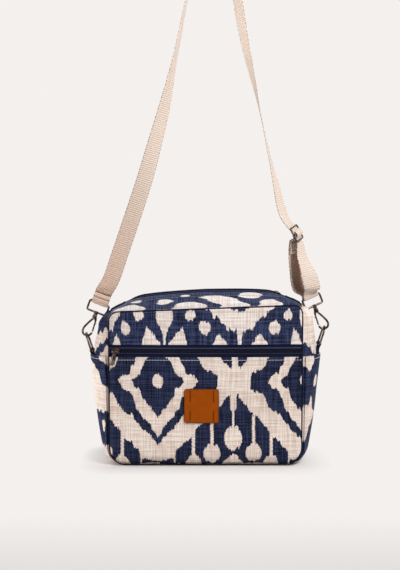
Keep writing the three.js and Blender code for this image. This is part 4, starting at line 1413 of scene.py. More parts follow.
    def side_offset(self, along: Array, y: Array) -> Array:
        """A side's lift: drawn in at the seams, and a little slack between them."""
        distance = self.form.band_half_depth - np.abs(y)
        slack = 0.5 * np.sin(along / 13.0 + y / 21.0) * smoothstep(distance, 0.0, 25.0)
        ends = np.minimum(along - self.form.base_end, self.form.top_start - along)
        return self.edge(np.minimum(distance, ends), along + y) + slack

    def way_over(self, station: float, depths: Array) -> Array:
        """The way over the band from the front seam to a depth, at a place along the outline."""
        fine = np.linspace(-self.form.band_half_depth, self.form.band_half_depth, 400)
        return np.interp(depths, fine, way_along(self.form.band(0.0 * fine + station, fine)))

    def side_chart(self, side: Side) -> Surface:
        """The place on the printed cloth of a side: the way from the front seam, and the height."""
        return lambda along, y: np.stack([self.way_over(self.form.hem_station, -side.value * y),
                                          self.form.hem + along - self.form.hem_station], axis=-1)

    def side(self, side: Side) -> ClothShell:
        """A side's wall, from the base to the top."""
        columns = spread(self.form.base_end + 0.2, self.form.top_start - 0.2, self.grain)
        return ClothShell(f"side_{side.word}_cloth", columns, self.depths, self.side_surface(side),
                          self.side_offset, self.side_chart(side))

    def pocket_gape(self, along: Array, y: Array) -> Array:
        """How far a side pocket stands off the side behind it."""
        hem = self.form.hem_station
        near = smoothstep(along, hem - self.gape_fade, hem)
        return self.gape * near * (1.0 - (y / self.form.band_half_depth) ** 2)

    def side_pocket_offset(self, along: Array, y: Array) -> Array:
        """A side pocket's lift, with its hem's fold."""
        distance = self.form.band_half_depth - np.abs(y)
        low = np.minimum(distance, along - self.side_pocket_start + 1.0)
        stand_off = self.cloth_gap + self.cloth + self.pocket_gape(along, y) + 0.3
        return stand_off + self.hem_step(along - self.form.hem_station) + 0.7 * self.edge(low, along + y)

    def side_pocket(self, side: Side) -> ClothShell:
        """A side's slip pocket, its hem standing off a little."""
        seam = self.form.band_half_depth - self.pocket_seam
        rows = self.depths * seam / self.form.band_half_depth
        columns = spread(self.side_pocket_start, self.form.hem_station, self.grain)
        return ClothShell(f"side_pocket_{side.word}_cloth", columns, rows, self.side_surface(side),
                          self.side_pocket_offset, self.side_chart(side))

    def base(self) -> ClothShell:
        """The base, flat on the floor."""
        columns = spread(-self.form.base_end + 0.2, self.form.base_end - 0.2, self.grain * 1.5)

        def offset(station: Array, y: Array) -> Array:
            """Drawn in at the seams only."""
            ends = self.form.base_end - np.abs(station)
            return self.drawn_in(np.minimum(self.form.band_half_depth - np.abs(y), ends))
        return ClothShell("base_cloth", columns, self.depths,
                          lambda station, y: self.form.band(-station, y), offset,
                          lambda station, y: np.stack([station, y - self.form.band_half_depth], axis=-1))

    def top_strip(self, facing: Facing) -> ClothShell:
        """A strip of the domed top beside the zip."""
        end = self.form.ends[-1]
        columns = spread(self.form.top_start + 0.2, 2 * end - self.form.top_start - 0.2, self.grain)
        steps = np.linspace(self.zip_slot, self.form.band_half_depth, 20)
        rows = -steps[::-1] if facing is Facing.FRONT else steps

        def offset(round_: Array, y: Array) -> Array:
            """Drawn in at the seams, and folded under beside the zip."""
            ends = np.minimum(round_ - columns[0], columns[-1] - round_)
            distance = np.minimum(self.form.band_half_depth - np.abs(y), ends)
            beside = np.abs(y) - self.zip_slot
            swell = self.zip_swell * bump(beside, 8.0, 6.0)
            return self.edge(distance, round_) + swell - self.zip_fold * (1.0 - smoothstep(beside, 0.0, 2.0))

        def chart(round_: Array, y: Array) -> Array:
            """Along the strip from its middle, and over from its own seam."""
            along = facing.value * (end - round_)
            return np.stack([along, self.way_over(end, -np.abs(y))], axis=-1)
        return ClothShell(f"top_{facing.word}_cloth", columns, rows, self.form.over_top, offset, chart)

    def seam_binding(self, facing: Facing) -> Piece:
        """A near-black cord all round a panel in its seam's crease: painted shade, lower at the foot as a
        painted contact shadow.
        """
        stations = spread(-self.form.ends[-1], self.form.ends[-1], 3.0)[:-1]
        x, z, nx, nz = self.form.outline(stations)
        x, z = x - nx * self.binding * 0.6, z - nz * self.binding * 0.6
        foot = 1.0 - smoothstep(z, *self.binding_foot)
        forward = self.binding_out * foot if facing is Facing.FRONT else 0.0 * foot
        y = facing.value * (self.form.band_half_depth + 0.4 * self.binding) - forward
        points = np.stack([x, y, z + self.form.sag(x, z) - self.binding_drop * foot], axis=1)
        return Bench.smooth(Bench.wire(f"{facing.word}_seam_binding", points, self.binding, True), 60.0)

    def hem_line(self, shell: ClothShell, side: Side | None) -> tuple[Array, Array]:
        """The line of stitches below a pocket's hem.

        Args:
            shell: the pocket's wall.
            side: the pocket's side, or None for the front pocket.

        Returns:
            The line's points and outward directions.
        """
        if side is None:
            u = spread(-0.985, 0.985, 0.01)
            v = 0.0 * u + self.form.hem - self.hem_stitch
        else:
            v = shell.rows[1:-1]
            u = 0.0 * v + self.form.hem_station - self.hem_stitch
        return shell.lifted(u, v, 0.1), shell.normals(u, v)

    def top_line(self, shell: ClothShell, facing: Facing) -> tuple[Array, Array]:
        """The line of stitches beside the main zip: points and outward directions."""
        u = shell.columns[3:-3]
        v = 0.0 * u + facing.value * self.top_stitch
        return shell.lifted(u, v, 0.1), shell.normals(u, v)


@dataclass
class ZipWork:
    """The main zip over the dome and the pocket's zip across the front, with sliders, pull and end tabs."""

    form: BagForm
    tape_top: float = -2.1
    tape_thickness: float = 0.8
    tape_half: float = 13.0
    slot_half: float = 6.0
    ridge: float = 3.6
    ridge_half: float = 3.4
    tooth: Triple = (0.85, 3.3, 1.9)
    tooth_pitch: float = 1.35
    tooth_side: float = 1.35
    pocket_reach: float = 3.5
    tab_reach: float = 21.0
    slider_from_end: float = 35.0
    slider_body: Rows = ((-2.4, -6), (-4.5, -2), (-3.8, 6), (3.8, 6), (4.5, -2), (2.4, -6))
    slider_arch: Rows = ((-5, 1.6), (-3, 2.2), (1, 2.3), (4, 1.6))
    slider_pull: tuple[float, ...] = (1.0, 5.0, 10.0, 16.0, 22.0, 27.0)
    pull_x: float = -129.0
    pull_tilt: float = 14.0
    pull_half: float = 3.5
    pull_length: float = 17.6
    pull_thickness: float = 1.4
    eye_radius: float = 1.75
    pocket_body: Rows = ((-5.5, -2.2), (-1.8, -4.5), (5.5, -3.4), (5.5, 3.4), (-1.8, 4.5), (-5.5, 2.2))
    pocket_body_thickness: float = 3.2
    bail_from_front: float = 6.8
    bail_rise: float = 6.6
    bail: Rows = ((-4.2, -5), (-4, -1.4), (-2.6, 0), (2.6, 0), (4, -1.4), (4.2, -5))

    @property
    def middle(self) -> float:
        """The height of the pocket zip's coil."""
        return (self.form.hem + self.form.zip_top) / 2

    def ends(self, margin: float = 0.2) -> Pair:
        """The first and last stations of the main zip."""
        return self.form.top_start + margin, 2 * self.form.ends[-1] - self.form.top_start - margin

    def ridge_at(self, round_: Array, y: Array) -> Array:
        """How far the main zip stands up between its strips."""
        first, last = self.ends()
        ends = smoothstep(np.minimum(round_ - first, last - round_), 18.0, 50.0)
        return self.ridge * ends * (1.0 - smoothstep(np.abs(y), self.ridge_half, self.slot_half))

    def main_tape(self) -> ClothShell:
        """The main zip's tape, pinched up into a ridge along its coil."""
        first, last = self.ends()
        rows = np.concatenate([np.linspace(-self.tape_half, -self.slot_half, 4)[:-1],
                               np.linspace(-self.slot_half, self.slot_half, 17),
                               np.linspace(self.slot_half, self.tape_half, 4)[1:]])
        return ClothShell("main_zip_tape_cloth", spread(first, last, 2.6), rows, self.form.over_top,
                          lambda round_, y: self.tape_top + self.ridge_at(round_, y),
                          lambda round_, y: np.stack([y, round_], axis=-1), self.tape_thickness)

    def pocket_tape(self, upper: bool) -> ClothShell:
        """One tape of the pocket's zip."""
        low, high = ((self.middle + 0.2, self.form.zip_top + self.pocket_reach) if upper
                     else (self.form.hem - self.pocket_reach, self.middle - 0.2))
        word = "upper" if upper else "lower"
        return ClothShell(f"pocket_zip_tape_{word}_cloth", np.linspace(-0.99, 0.99, 101),
                          np.linspace(low, high, 12), self.form.panel,
                          lambda share, z: self.tape_top + 0.25 * np.cos(z * math.tau / 3.1),
                          lambda share, z: np.stack([z, share * self.form.half_width], axis=-1),
                          self.tape_thickness)

    def teeth(self, name: str, surface: Surface, along: Array, across: Array, lift: Surface,
              step: float) -> Piece:
        """Two meshed rows of small teeth along a line on a surface.

        Args:
            name: the piece's name.
            surface: the surface below.
            along: the teeth's places along it, each with its fellow's half a pitch on.
            across: the coil's middle across the surface at those places.
            lift: how far the coil's foot is above the surface.
            step: the parameter's step for a tooth's direction.

        Returns:
            The new piece.
        """
        shape, faces = Bench.small_block(self.tooth, 0.22)
        corners, quads = [], []
        for row, (u, v) in enumerate(zip(along, across)):
            sign = 1.0 if row % 2 else -1.0
            middle = surface(u, v + sign * self.tooth_side)
            forward = unit(surface(u + step, v) - surface(u - step, v))
            aside = unit(surface(u, v + 0.05) - surface(u, v - 0.05))
            out = np.cross(forward, aside)
            foot = middle + out * (float(lift(u, v)) + self.tooth[2] / 2)
            corners.append(foot + shape @ np.stack([forward, aside, out]))
            quads.extend([k + row * len(shape) for k in face] for face in faces)
        return Bench.smooth(Bench.mesh(name, np.vstack(corners), quads), 30.0)

    def main_teeth(self) -> Piece:
        """The main zip's coil."""
        first, last = self.ends(3.0)
        along = np.arange(first, last, self.tooth_pitch / 2)
        return self.teeth("main_zip_teeth", self.form.over_top, along, 0.0 * along,
                          lambda u, v: self.tape_top + 0.1 + self.ridge_at(u, v), 0.05)

    def pocket_teeth(self) -> Piece:
        """The pocket zip's coil."""
        half = 0.985 * self.form.half_width
        along = np.arange(-half, half, self.tooth_pitch / 2) / self.form.half_width
        return self.teeth("pocket_zip_teeth", self.form.panel, along, 0.0 * along + self.middle,
                          lambda u, v: self.tape_top + 0.3, 0.001)

    def end_tab(self, side: Side) -> ClothShell:
        """The folded cloth tab over an end of the main zip."""
        first, last = self.ends()
        start = first if side is Side.LEFT else last - self.tab_reach
        columns = spread(start, start + self.tab_reach, 1.5)
        rows = np.linspace(-self.tape_half, self.tape_half, 31)

        def offset(round_: Array, y: Array) -> Array:
            """Lies over the coil and down to the strips on both sides."""
            return 1.6 + self.ridge_at(round_, y) + 0.3 * (1.0 - smoothstep(np.abs(y), 2.5, 9.5))
        return ClothShell(f"zip_end_tab_{side.word}_cloth", columns, rows, self.form.over_top, offset,
                          lambda round_, y: np.stack([y + 160.0, round_ - first], axis=-1), 1.4)

    def main_slider(self) -> Piece:
        """The main zip's slider near the right end, its pull lying over the back."""
        u, v = np.array(self.ends()[1] - self.slider_from_end), np.array(0.0)
        forward = unit(self.form.over_top(u + 0.5, v) - self.form.over_top(u - 0.5, v))
        back = np.array([0.0, 1.0, 0.0])
        out = np.cross(forward, back)
        lift = self.tape_top + float(self.ridge_at(u, v)) + 0.2
        place = Axes(self.form.over_top(u, v) + out * lift, back, forward, out)
        name = "main_zip_slider_metal"
        body = Bench.plate(name, self.slider_body, place, 2.1, 0.6)
        arch = np.array([place.at(0.0, down, rise) for down, rise in self.slider_arch])
        bridge = Bench.wire("main_zip_bridge", smooth_route(arch, 6), 1.5)
        drop = [self.form.over_top(u, np.array(y)) + out * (1.6 if y > 8 else 2.9 + lift - 0.15 * y)
                for y in self.slider_pull]
        drop = smooth_route(np.array(drop), 5)
        pull = Ribbon(6.0, 1.4, 7).build("main_zip_pull", drop, np.tile(forward, (len(drop), 1)))
        return Bench.fuse(name, body, bridge, pull)

    @property
    def bail_place(self) -> Array:
        """The middle of the pocket slider's bail, which its pull hangs on."""
        share = np.array(self.pull_x / self.form.half_width)
        face = float(self.form.panel(share, np.array(self.middle))[1])
        return np.array([self.pull_x, face - self.bail_from_front, self.middle])

    def pocket_slider(self) -> Piece:
        """The pocket zip's slider, with the bail that holds its pull."""
        right, up, back = np.eye(3)[[0, 2, 1]]
        bail = self.bail_place
        name = "pocket_zip_slider_metal"
        place = Axes(bail + back * self.bail_rise, right, -up, -back)
        body = Bench.plate(name, self.pocket_body, place, self.pocket_body_thickness, 0.7)
        route = np.array([bail + right * x - back * rise for x, rise in self.bail])
        return Bench.fuse(name, body, Bench.wire("pocket_zip_bail", smooth_route(route, 6), 1.6))

    def pocket_pull(self) -> Piece:
        """The pocket zip's pull, hanging a little aslant from the bail."""
        tilt = math.radians(self.pull_tilt)
        side = np.array([math.cos(tilt), 0.0, -math.sin(tilt)])
        down = np.array([-math.sin(tilt), 0.0, -math.cos(tilt)])
        back = np.array([0.0, 1.0, 0.0])
        bar = self.bail_place
        place = Axes(bar + back * self.pull_thickness / 2, side, down, -back)
        turn = np.linspace(0.0, math.tau, 20, endpoint=False)[:, None]
        eye = bar + self.eye_radius * (np.cos(turn) * back + np.sin(turn) * down)
        half = self.pull_half
        foot = [(half * math.cos(a), self.pull_length + half * math.sin(a))
                for a in np.linspace(0.0, math.pi, 9)]
        outline = [(-1.8, 1.7), (1.8, 1.7), (half, 7.0), *foot, (-half, 7.0)]
        name = "pocket_zip_pull_metal"
        tab = Bench.plate(name, outline, place, self.pull_thickness, 0.35, 0.35)
        return Bench.fuse(name, tab, Bench.wire("pocket_zip_eye", eye, 1.3, True))


@dataclass
class LeatherLabel:
    """The square leather label on the pocket, with four pressed lines."""

    form: BagForm
    x: float = -5.9
    z: float = 88.3
    corner: float = 4.2
    thickness: float = 1.6
    stand_off: float = 0.9
    line_deep: float = 0.55
    line_half: float = 0.75
    edge_round: float = 1.4
    edge_deep: float = 0.55
    leather: Leather = Leather()

    @property
    def half(self) -> float:
        """Half the label's size."""
        return self.leather.half_size

    def rounded(self, a: Array, b: Array) -> tuple[Array, Array]:
        """A square's places, with its corners made round."""
        inner = self.half - self.corner
        s, t = (np.maximum(np.abs(k) - inner, 0.0) / self.corner for k in (a, b))
        x = np.where((s > 0) & (t > 0), inner + self.corner * s * np.sqrt(1 - t * t / 2), np.abs(a))
        z = np.where((s > 0) & (t > 0), inner + self.corner * t * np.sqrt(1 - s * s / 2), np.abs(b))
        return np.sign(a) * x, np.sign(b) * z

    def surface(self, a: Array, b: Array) -> Array:
        """The pocket's face below the label."""
        x, z = self.rounded(a, b)
        height = self.z + z
        return self.form.panel((self.x + x) / self.form.half_width_at(height), height)

    def offset(self, a: Array, b: Array) -> Array:
        """The leather's face: round at its edges and drawn down along the pressed lines."""
        edge = self.half - np.maximum(np.abs(a), np.abs(b))
        edge_drop = self.edge_deep * (1.0 - smoothstep(edge, 0.0, self.edge_round))
        height = self.stand_off + self.thickness - edge_drop
        for line in self.leather.lines:
            for low, high in self.leather.spans:
                along = smoothstep(b, low - 0.8, low + 0.4) * (1.0 - smoothstep(b, high - 0.4, high + 0.8))
                height = height - self.line_deep * along * bump(a, line, self.line_half)
        return height

    def build(self) -> Piece:
        """The label as a piece."""
        steps = np.linspace(-self.half, self.half, 101)
        shell = ClothShell("label_leather", steps, steps, self.surface, self.offset,
                           lambda a, b: np.stack(self.rounded(a, b), axis=-1), self.thickness)
        return shell.build()


@dataclass
class SnapHook:
    """One side's fittings: swivel ring, snap hook with its gate, D-ring and the cloth tab that holds it."""

    form: BagForm
    side: Side
    swivel: Pair
    tilt: float
    yaw: float
    wire: float = 3.0
    gap: float = 0.3
    ring_half: float = 14.7
    ring_height: float = 15.0
    ring_corner: float = 2.6
    d_half: float = 12.5
    d_height: float = 26.5
    d_foot: float = 2.0
    d_stand_off: float = 3.9
    tab_width: float = 18.0
    tab_thickness: float = 1.5
    tab_leg: float = 15.0
    tab_knee: float = 7.0
    tab_spread: float = 1.9
    collar: Triple = (-1.9, 4.0, 6.0)
    barrel: Triple = (4.4, 10.6, 6.6)
    rim: float = 0.9
    spine: Rows = ((-0.5, 8), (2.6, 13), (6.2, 20), (9, 27), (9.4, 31.5), (7.2, 35.6), (3, 37), (-1.4, 35.8),
                   (-3.9, 32.4), (-4.4, 30.2))
    gate_pivot: Pair = (-3.4, 12.2)
    lug_root: Pair = (-2.2, 8.0)
    lug_radius: float = 1.5
    lug_from: float = 1.5
    lug_thickness: float = 0.6
    gate_hinge: Pair = (-3.4, 11.0)
    gate_tip: Pair = (-4.6, 28.4)
    gate_wire: float = 2.4
    stud: Triple = (0.3, 2.2, 1.9)
    bend: Pair = (3.0, 33.7)

    @property
    def axes(self) -> Axes:
        """The hook's own axes: down its pull, and out away from the bag."""
        sign, lean = self.side.value, math.radians(self.tilt)
        down = np.array([sign * math.sin(lean), 0.0, -math.cos(lean)])
        out = np.array([sign * math.cos(lean), 0.0, math.sin(lean)])
        side = out * sign * math.cos(math.radians(self.yaw))
        side[1] = math.sin(math.radians(self.yaw))
        return Axes(np.array([self.swivel[0], 0.0, self.swivel[1]]), side, down, out)

    @property
    def face(self) -> float:
        """How far out the side's face is at the pockets' hems."""
        return self.form.half_width + float(self.form.flare_at(np.array(self.form.hem_station)))

    def metal(self, stem: str) -> str:
        """The name of one of this side's metal pieces."""
        return f"{stem}_{self.side.word}_metal"

    def on_line(self, name: str, sizes: Triple) -> Piece:
        """A turned part on the hook's middle line, from its two ends and its diameter."""
        start, end, diameter = sizes
        return Bench.barrel(name, self.axes.at(down=start), self.axes.at(down=end), diameter, self.rim)

    @staticmethod
    def rounded_loop(axes: Axes, half: float, low: float, high: float, corner: float) -> Array:
        """The middle line of a wire bent into a rectangle with round corners.

        Args:
            axes: the loop lies in their side and down.
            half: half its width.
            low: its first end along down.
            high: its last end along down.
            corner: the radius of its corners.

        Returns:
            The points, one a row.
        """
        points = []
        corners = ((-1, low + corner), (1, low + corner), (1, high - corner), (-1, high - corner))
        for k, (sign, middle) in enumerate(corners):
            for angle in np.linspace(k + 2, k + 3, 7) * math.pi / 2:
                points.append(axes.at(sign * (half - corner) + corner * math.cos(angle),
                                      middle + corner * math.sin(angle)))
        return np.array(points)

    def ring(self) -> Piece:
        """The swivel ring, with its turned collar."""
        loop = self.rounded_loop(self.axes, self.ring_half, -self.ring_height, 0.0, self.ring_corner)
        name = self.metal("hook_ring")
        return Bench.fuse(name, Bench.wire(name, loop, self.wire, True), self.on_line("collar", self.collar))

    def body(self) -> Piece:
        """The hook's barrel and its bent arm, with the lugs that hold the gate."""
        name = self.metal("hook_body")
        barrel = self.on_line("barrel", self.barrel)
        route = smooth_route(np.array([self.axes.at(down=down, out=out) for out, down in self.spine]), 8)
        arm = Bench.wire(name, route, self.wire + 0.2)
        return Bench.fuse(name, arm, barrel, *(part for facing in Facing for part in self.lug(facing)))

    def lug(self, facing: Facing) -> tuple[Piece, Piece]:
        """A lug beside the gate's root, with the rivet's head.

        Args:
            facing: the side of the gate that it is on.

        Returns:
            The lug and the rivet's head.
        """
        axes = self.axes
        root, pivot = np.array(self.lug_root), np.array(self.gate_pivot)
        along = unit(pivot - root)
        aside = np.array([-along[1], along[0]])
        turn = np.linspace(0.0, math.pi, 9)[:, None]
        tip = pivot + self.lug_radius * (aside * np.cos(turn) + along * np.sin(turn))
        corners = np.vstack([root + aside * self.lug_radius, tip, root - aside * self.lug_radius])
        outward = np.array([0.0, facing.value, 0.0])
        place = Axes(axes.origin + outward * self.lug_from, axes.out, axes.down, outward)
        plate = Bench.plate("lug", corners.tolist(), place, self.lug_thickness, 0.2)
        rivet = [axes.at(down=pivot[1], out=pivot[0]) + outward * reach
                 for reach in (self.lug_from + 0.1, self.lug_from + self.lug_thickness + 0.4)]
        return plate, Bench.barrel("rivet", *rivet, 1.5, 0.25)

    def gate(self) -> Piece:
        """The spring gate, with a small thumb stud."""
        axes = self.axes
        name = self.metal("hook_gate")
        start, end = (axes.at(down=down, out=out) for out, down in (self.gate_hinge, self.gate_tip))
        rod = Bench.wire(name, np.linspace(start, end, 9), self.gate_wire)
        share, length, diameter = self.stud
        middle = start + (end - start) * share
        return Bench.fuse(name, rod, Bench.barrel("stud", middle, middle - axes.out * length, diameter, 0.5))

    def d_place(self) -> tuple[Array, Array]:
        """The middle of the D-ring's straight bar, and the direction from it to the hook."""
        bend = self.axes.at(down=self.bend[1], out=self.bend[0])
        x = self.side.value * (self.face + self.d_stand_off)
        bar = np.array([x, 0.0, bend[2] - math.sqrt(self.d_height ** 2 - (bend[0] - x) ** 2)])
        return bar, unit(bend - bar)

    def d_ring(self) -> Piece:
        """The D-ring."""
        bar, rise = self.d_place()
        arch = [(self.d_half * math.cos(a), self.d_height - self.d_half * (1 - math.sin(a)))
                for a in np.linspace(0.0, math.pi, 25)]
        shape = [(self.d_foot - self.d_half, 0.0), (self.d_half - self.d_foot, 0.0),
                 (self.d_half - 0.6, 0.6), (self.d_half, self.d_foot), *arch, (-self.d_half, self.d_foot),
                 (0.6 - self.d_half, 0.6)]
        points = np.array([bar + np.array([0.0, y, 0.0]) + rise * up for y, up in shape])
        return Bench.smooth(Bench.wire(self.metal("d_ring"), points, self.wire, True))

    def tab(self) -> Piece:
        """The cloth tab round the D-ring's bar, its two legs going down behind the pocket's hem."""
        bar, _ = self.d_place()
        sign = self.side.value
        around = self.wire / 2 + self.gap + self.tab_thickness / 2
        foot, knee = bar[2] - self.tab_leg, bar[2] - self.tab_knee
        inner = sign * (self.face + self.gap + self.tab_thickness / 2)
        outer = inner + sign * self.tab_spread
        over = [(bar[0] + sign * math.cos(a) * around, bar[2] + math.sin(a) * around)
                for a in np.linspace(-0.25 * math.pi, 1.25 * math.pi, 9)]
        path = [(outer, foot), (outer + sign * 0.4, knee), *over, (inner, knee), (inner, foot)]
        route = smooth_route(np.array([[x, 0.0, z] for x, z in path]), 4)
        width = np.tile([0.0, 1.0, 0.0], (len(route), 1))
        band = Ribbon(self.tab_width, self.tab_thickness)
        return band.build(f"d_ring_tab_{self.side.word}_cloth", route, width)


@dataclass
class StrapWork:
    """The webbing strap from the left ring over the hang point to the right ring, and its slide."""

    left: SnapHook
    right: SnapHook
    width: float = 24.4
    thickness: float = 1.4
    rib: float = 3.0
    rib_height: float = 0.16
    bar_to_ribbon: float = 2.6
    left_fold: Rows = ((19.2, 3.9), (17.6, 3.6), (15.0, 0.8), (13.6, 0.6), (10.6, 3.3), (8.2, 3.4),
                       (6.4, 1.7), (4.4, 3.2), (2.2, 3.3))
    left_behind: Rows = ((8, -1.7), (17, -1))
    right_fold: Rows = ((5, 4.4),)
    left_run: Rows = ((-138.3, 0, 265.4, 0), (-125.4, 0, 302, 2), (-106.5, 0, 357, 8), (-88.3, 0, 411.8, 19),
                      (-74, 0, 462, 34), (-60.3, 0, 513, 50), (-44.2, 0, 584.6, 76), (-26.7, 0, 669.9, 84),
                      (-12, 0, 738, 88))
    right_run: Rows = ((34.5, 0, 735, 110), (45.4, 0, 669.9, 120), (56.8, 0, 606, 115), (71.7, 0, 541.7, 98),
                       (77.9, 0, 513, 89), (97, 0, 426.3, 75), (103.9, 0, 397.3, 64), (109.6, 0, 372, 59),
                       (116.4, 0, 354.5, 59))
    loop_front: Rows = ((140.5, -5, 300, 52), (146, -10, 284, 38), (151.7, -14, 268, 16),
                        (154.8, -13, 254, 17))
    loop_back: Rows = ((139, 9, 251, 30), (134.6, 11, 264, 36), (132.2, 10, 282, 41), (129.6, 7, 300, 46),
                       (128.6, 5, 315, 52), (129.2, 4, 325, 58))
    tail: Rows = ((130.9, 3.2, 323, 57), (130.3, 4.0, 315.5, 52), (131.0, 5.6, 305, 47))
    slide_run: Rows = ((-10.5, -2.6), (-6, -0.2), (-3, 3.6), (0, 4.9), (3, 3.8), (6.5, 0),
                       (10.5, -2.6), (15.5, -2.4))
    sewn_end: Rows = ((4, -4.4), (0, -2.5), (-2, -1.6), (-2.5, 0), (-1.8, 1.8), (0, 2.5),
                      (2.4, 1.2), (4.8, -1.6))
    slide_at: Triple = (132.9, 0.0, 333.8)
    slide_lean: float = 27.5
    slide_turn: float = 65.0
    slide_half: float = 14.4
    slide_pitch: float = 10.5
    slide_wire: float = 2.6
    arc_radius: float = 13.0
    arc_height: float = 793.0
    fold_seam: Pair = (14.2, 1.45)
    seam_half: float = 10.5
    tail_seams: tuple[float, ...] = (-11.0, -7.0, 7.0, 11.0)

    @property
    def slide_axes(self) -> Axes:
        """The slide's own axes: down the strap, across it, and out from the slide's plane."""
        lean, turn = math.radians(self.slide_lean), math.radians(self.slide_turn)
        down = np.array([math.sin(lean), 0.0, -math.cos(lean)])
        level = np.array([math.cos(lean), 0.0, math.sin(lean)])
        side = level * math.cos(turn) + np.array([0.0, math.sin(turn), 0.0])
        return Axes(np.array(self.slide_at), side, down, np.cross(down, side))

    @staticmethod
    def bar_axes(hook: SnapHook) -> Axes:
        """The axes of a ring's upper bar: along it, down the hook, and out to the front."""
        axes = hook.axes
        return Axes(axes.at(down=-hook.ring_height), axes.side, axes.down, np.cross(axes.side, -axes.down))

    def round_bar(self, hook: SnapHook, before: Rows, behind: Rows) -> list[tuple[Array, Array]]:
        """The ribbon's turn round a ring's upper bar, from its front face under the bar to its back face.

        Args:
            hook: the hook with the ring.
            before: places before the turn, above the bar and out from it.
            behind: such places after it.

        Returns:
            Places of the ribbon, each with its width's direction.
        """
        bar = self.bar_axes(hook)
        under = [(-self.bar_to_ribbon * math.sin(a), self.bar_to_ribbon * math.cos(a))
                 for a in np.linspace(0.0, math.pi, 9)]
        return [(bar.at(down=-above, out=out), bar.side) for above, out in (*before, *under, *behind)]

    @staticmethod
    def turned(rows: Rows) -> list[tuple[Array, Array]]:
        """Places of the ribbon from rows of x, y, z and the turn of its width in degrees."""
        return [(np.array([x, y, z], float),
                 np.array([math.cos(math.radians(turn)), math.sin(math.radians(turn)), 0.0]))
                for x, y, z, turn in rows]

    def route(self) -> tuple[Array, Array]:
        """The whole ribbon: the middle's points and its width's directions."""
        slide = self.slide_axes
        arc = [(float(HANG_POINT[0]) + self.arc_radius * math.cos(a), 0.0,
                self.arc_height + self.arc_radius * math.sin(a), 90.0)
               for a in np.radians(np.linspace(166.0, 12.0, 10))]
        mirrored = [(above, -out) for above, out in self.right_fold[::-1]]
        places = [
            *self.round_bar(self.left, self.left_fold, self.left_behind), *self.turned(self.left_run),
            *self.turned(arc), *self.turned(self.right_run),
            *((slide.at(down=down, out=out), slide.side) for down, out in self.slide_run),
            *self.turned(self.loop_front), *self.round_bar(self.right, self.right_fold, mirrored),
            *self.turned(self.loop_back),
            *((slide.at(down=down, out=out), slide.side) for down, out in self.sewn_end),
            *self.turned(self.tail),
        ]
        points, sides = (smooth_route(np.array(rows), 16) for rows in zip(*places))
        way = way_along(points)
        at = spread(0.0, way[-1], self.rib / 5)
        return read_rows(at, way, points), read_rows(at, way, sides)

    def strap(self) -> Piece:
        """The strap as one ribbed ribbon."""
        band = Ribbon(self.width, self.thickness, 11, self.rib, self.rib_height)
        return band.build("strap_webbing", *self.route())

    def slide(self) -> Piece:
        """The three-bar slide."""
        axes, half, wire = self.slide_axes, self.slide_half, self.slide_wire
        loop = SnapHook.rounded_loop(axes, half, -self.slide_pitch, self.slide_pitch, wire)
        bar = np.linspace(axes.at(-half), axes.at(half), 5)
        name = "strap_slide_metal"
        return Bench.fuse(name, Bench.wire(name, loop, wire, True), Bench.wire("slide_bar", bar, wire))

    def stitches(self) -> Piece:
        """The stitches that hold the left fold and the sewn end beside the slide."""
        bar = self.bar_axes(self.left)
        across = np.linspace(-self.seam_half, self.seam_half, 12)[:, None]
        above, out = self.fold_seam
        points = bar.at(down=-above, out=out) + bar.side * across
        lines = [(points, np.tile(bar.out, (len(points), 1)))]
        middle, sides = (smooth_route(np.array(rows), 6) for rows in zip(*self.turned(self.tail)))
        face = unit(np.cross(np.gradient(middle, axis=0), sides))
        front = middle + face * (self.thickness / 2 + 0.1)
        lines += [(front + sides * aside, face) for aside in self.tail_seams]
        lines += [(front[row] + sides[row] * across, np.tile(face[row], (len(across), 1))) for row in (2, -3)]
        return Topstitch(2.6, 3.4, 0.42).row("strap_stitches", lines)


@dataclass(frozen=True)
class Lamp:
    """A soft square lamp, placed in the frame's metres."""

    name: str
    place: Triple
    target: Triple
    power: float
    size: float
    spread: float

    def build(self) -> None:
        """Sets the lamp up, facing its target."""
        light = bpy.data.lights.new(self.name, "AREA")
        light.energy = self.power
        light.size = self.size
        light.spread = math.radians(self.spread)
        lamp = Bench.place(self.name, light)
        lamp.location = self.place
        lamp.rotation_euler = (Vector(self.target) - Vector(self.place)).to_track_quat("-Z", "Y").to_euler()


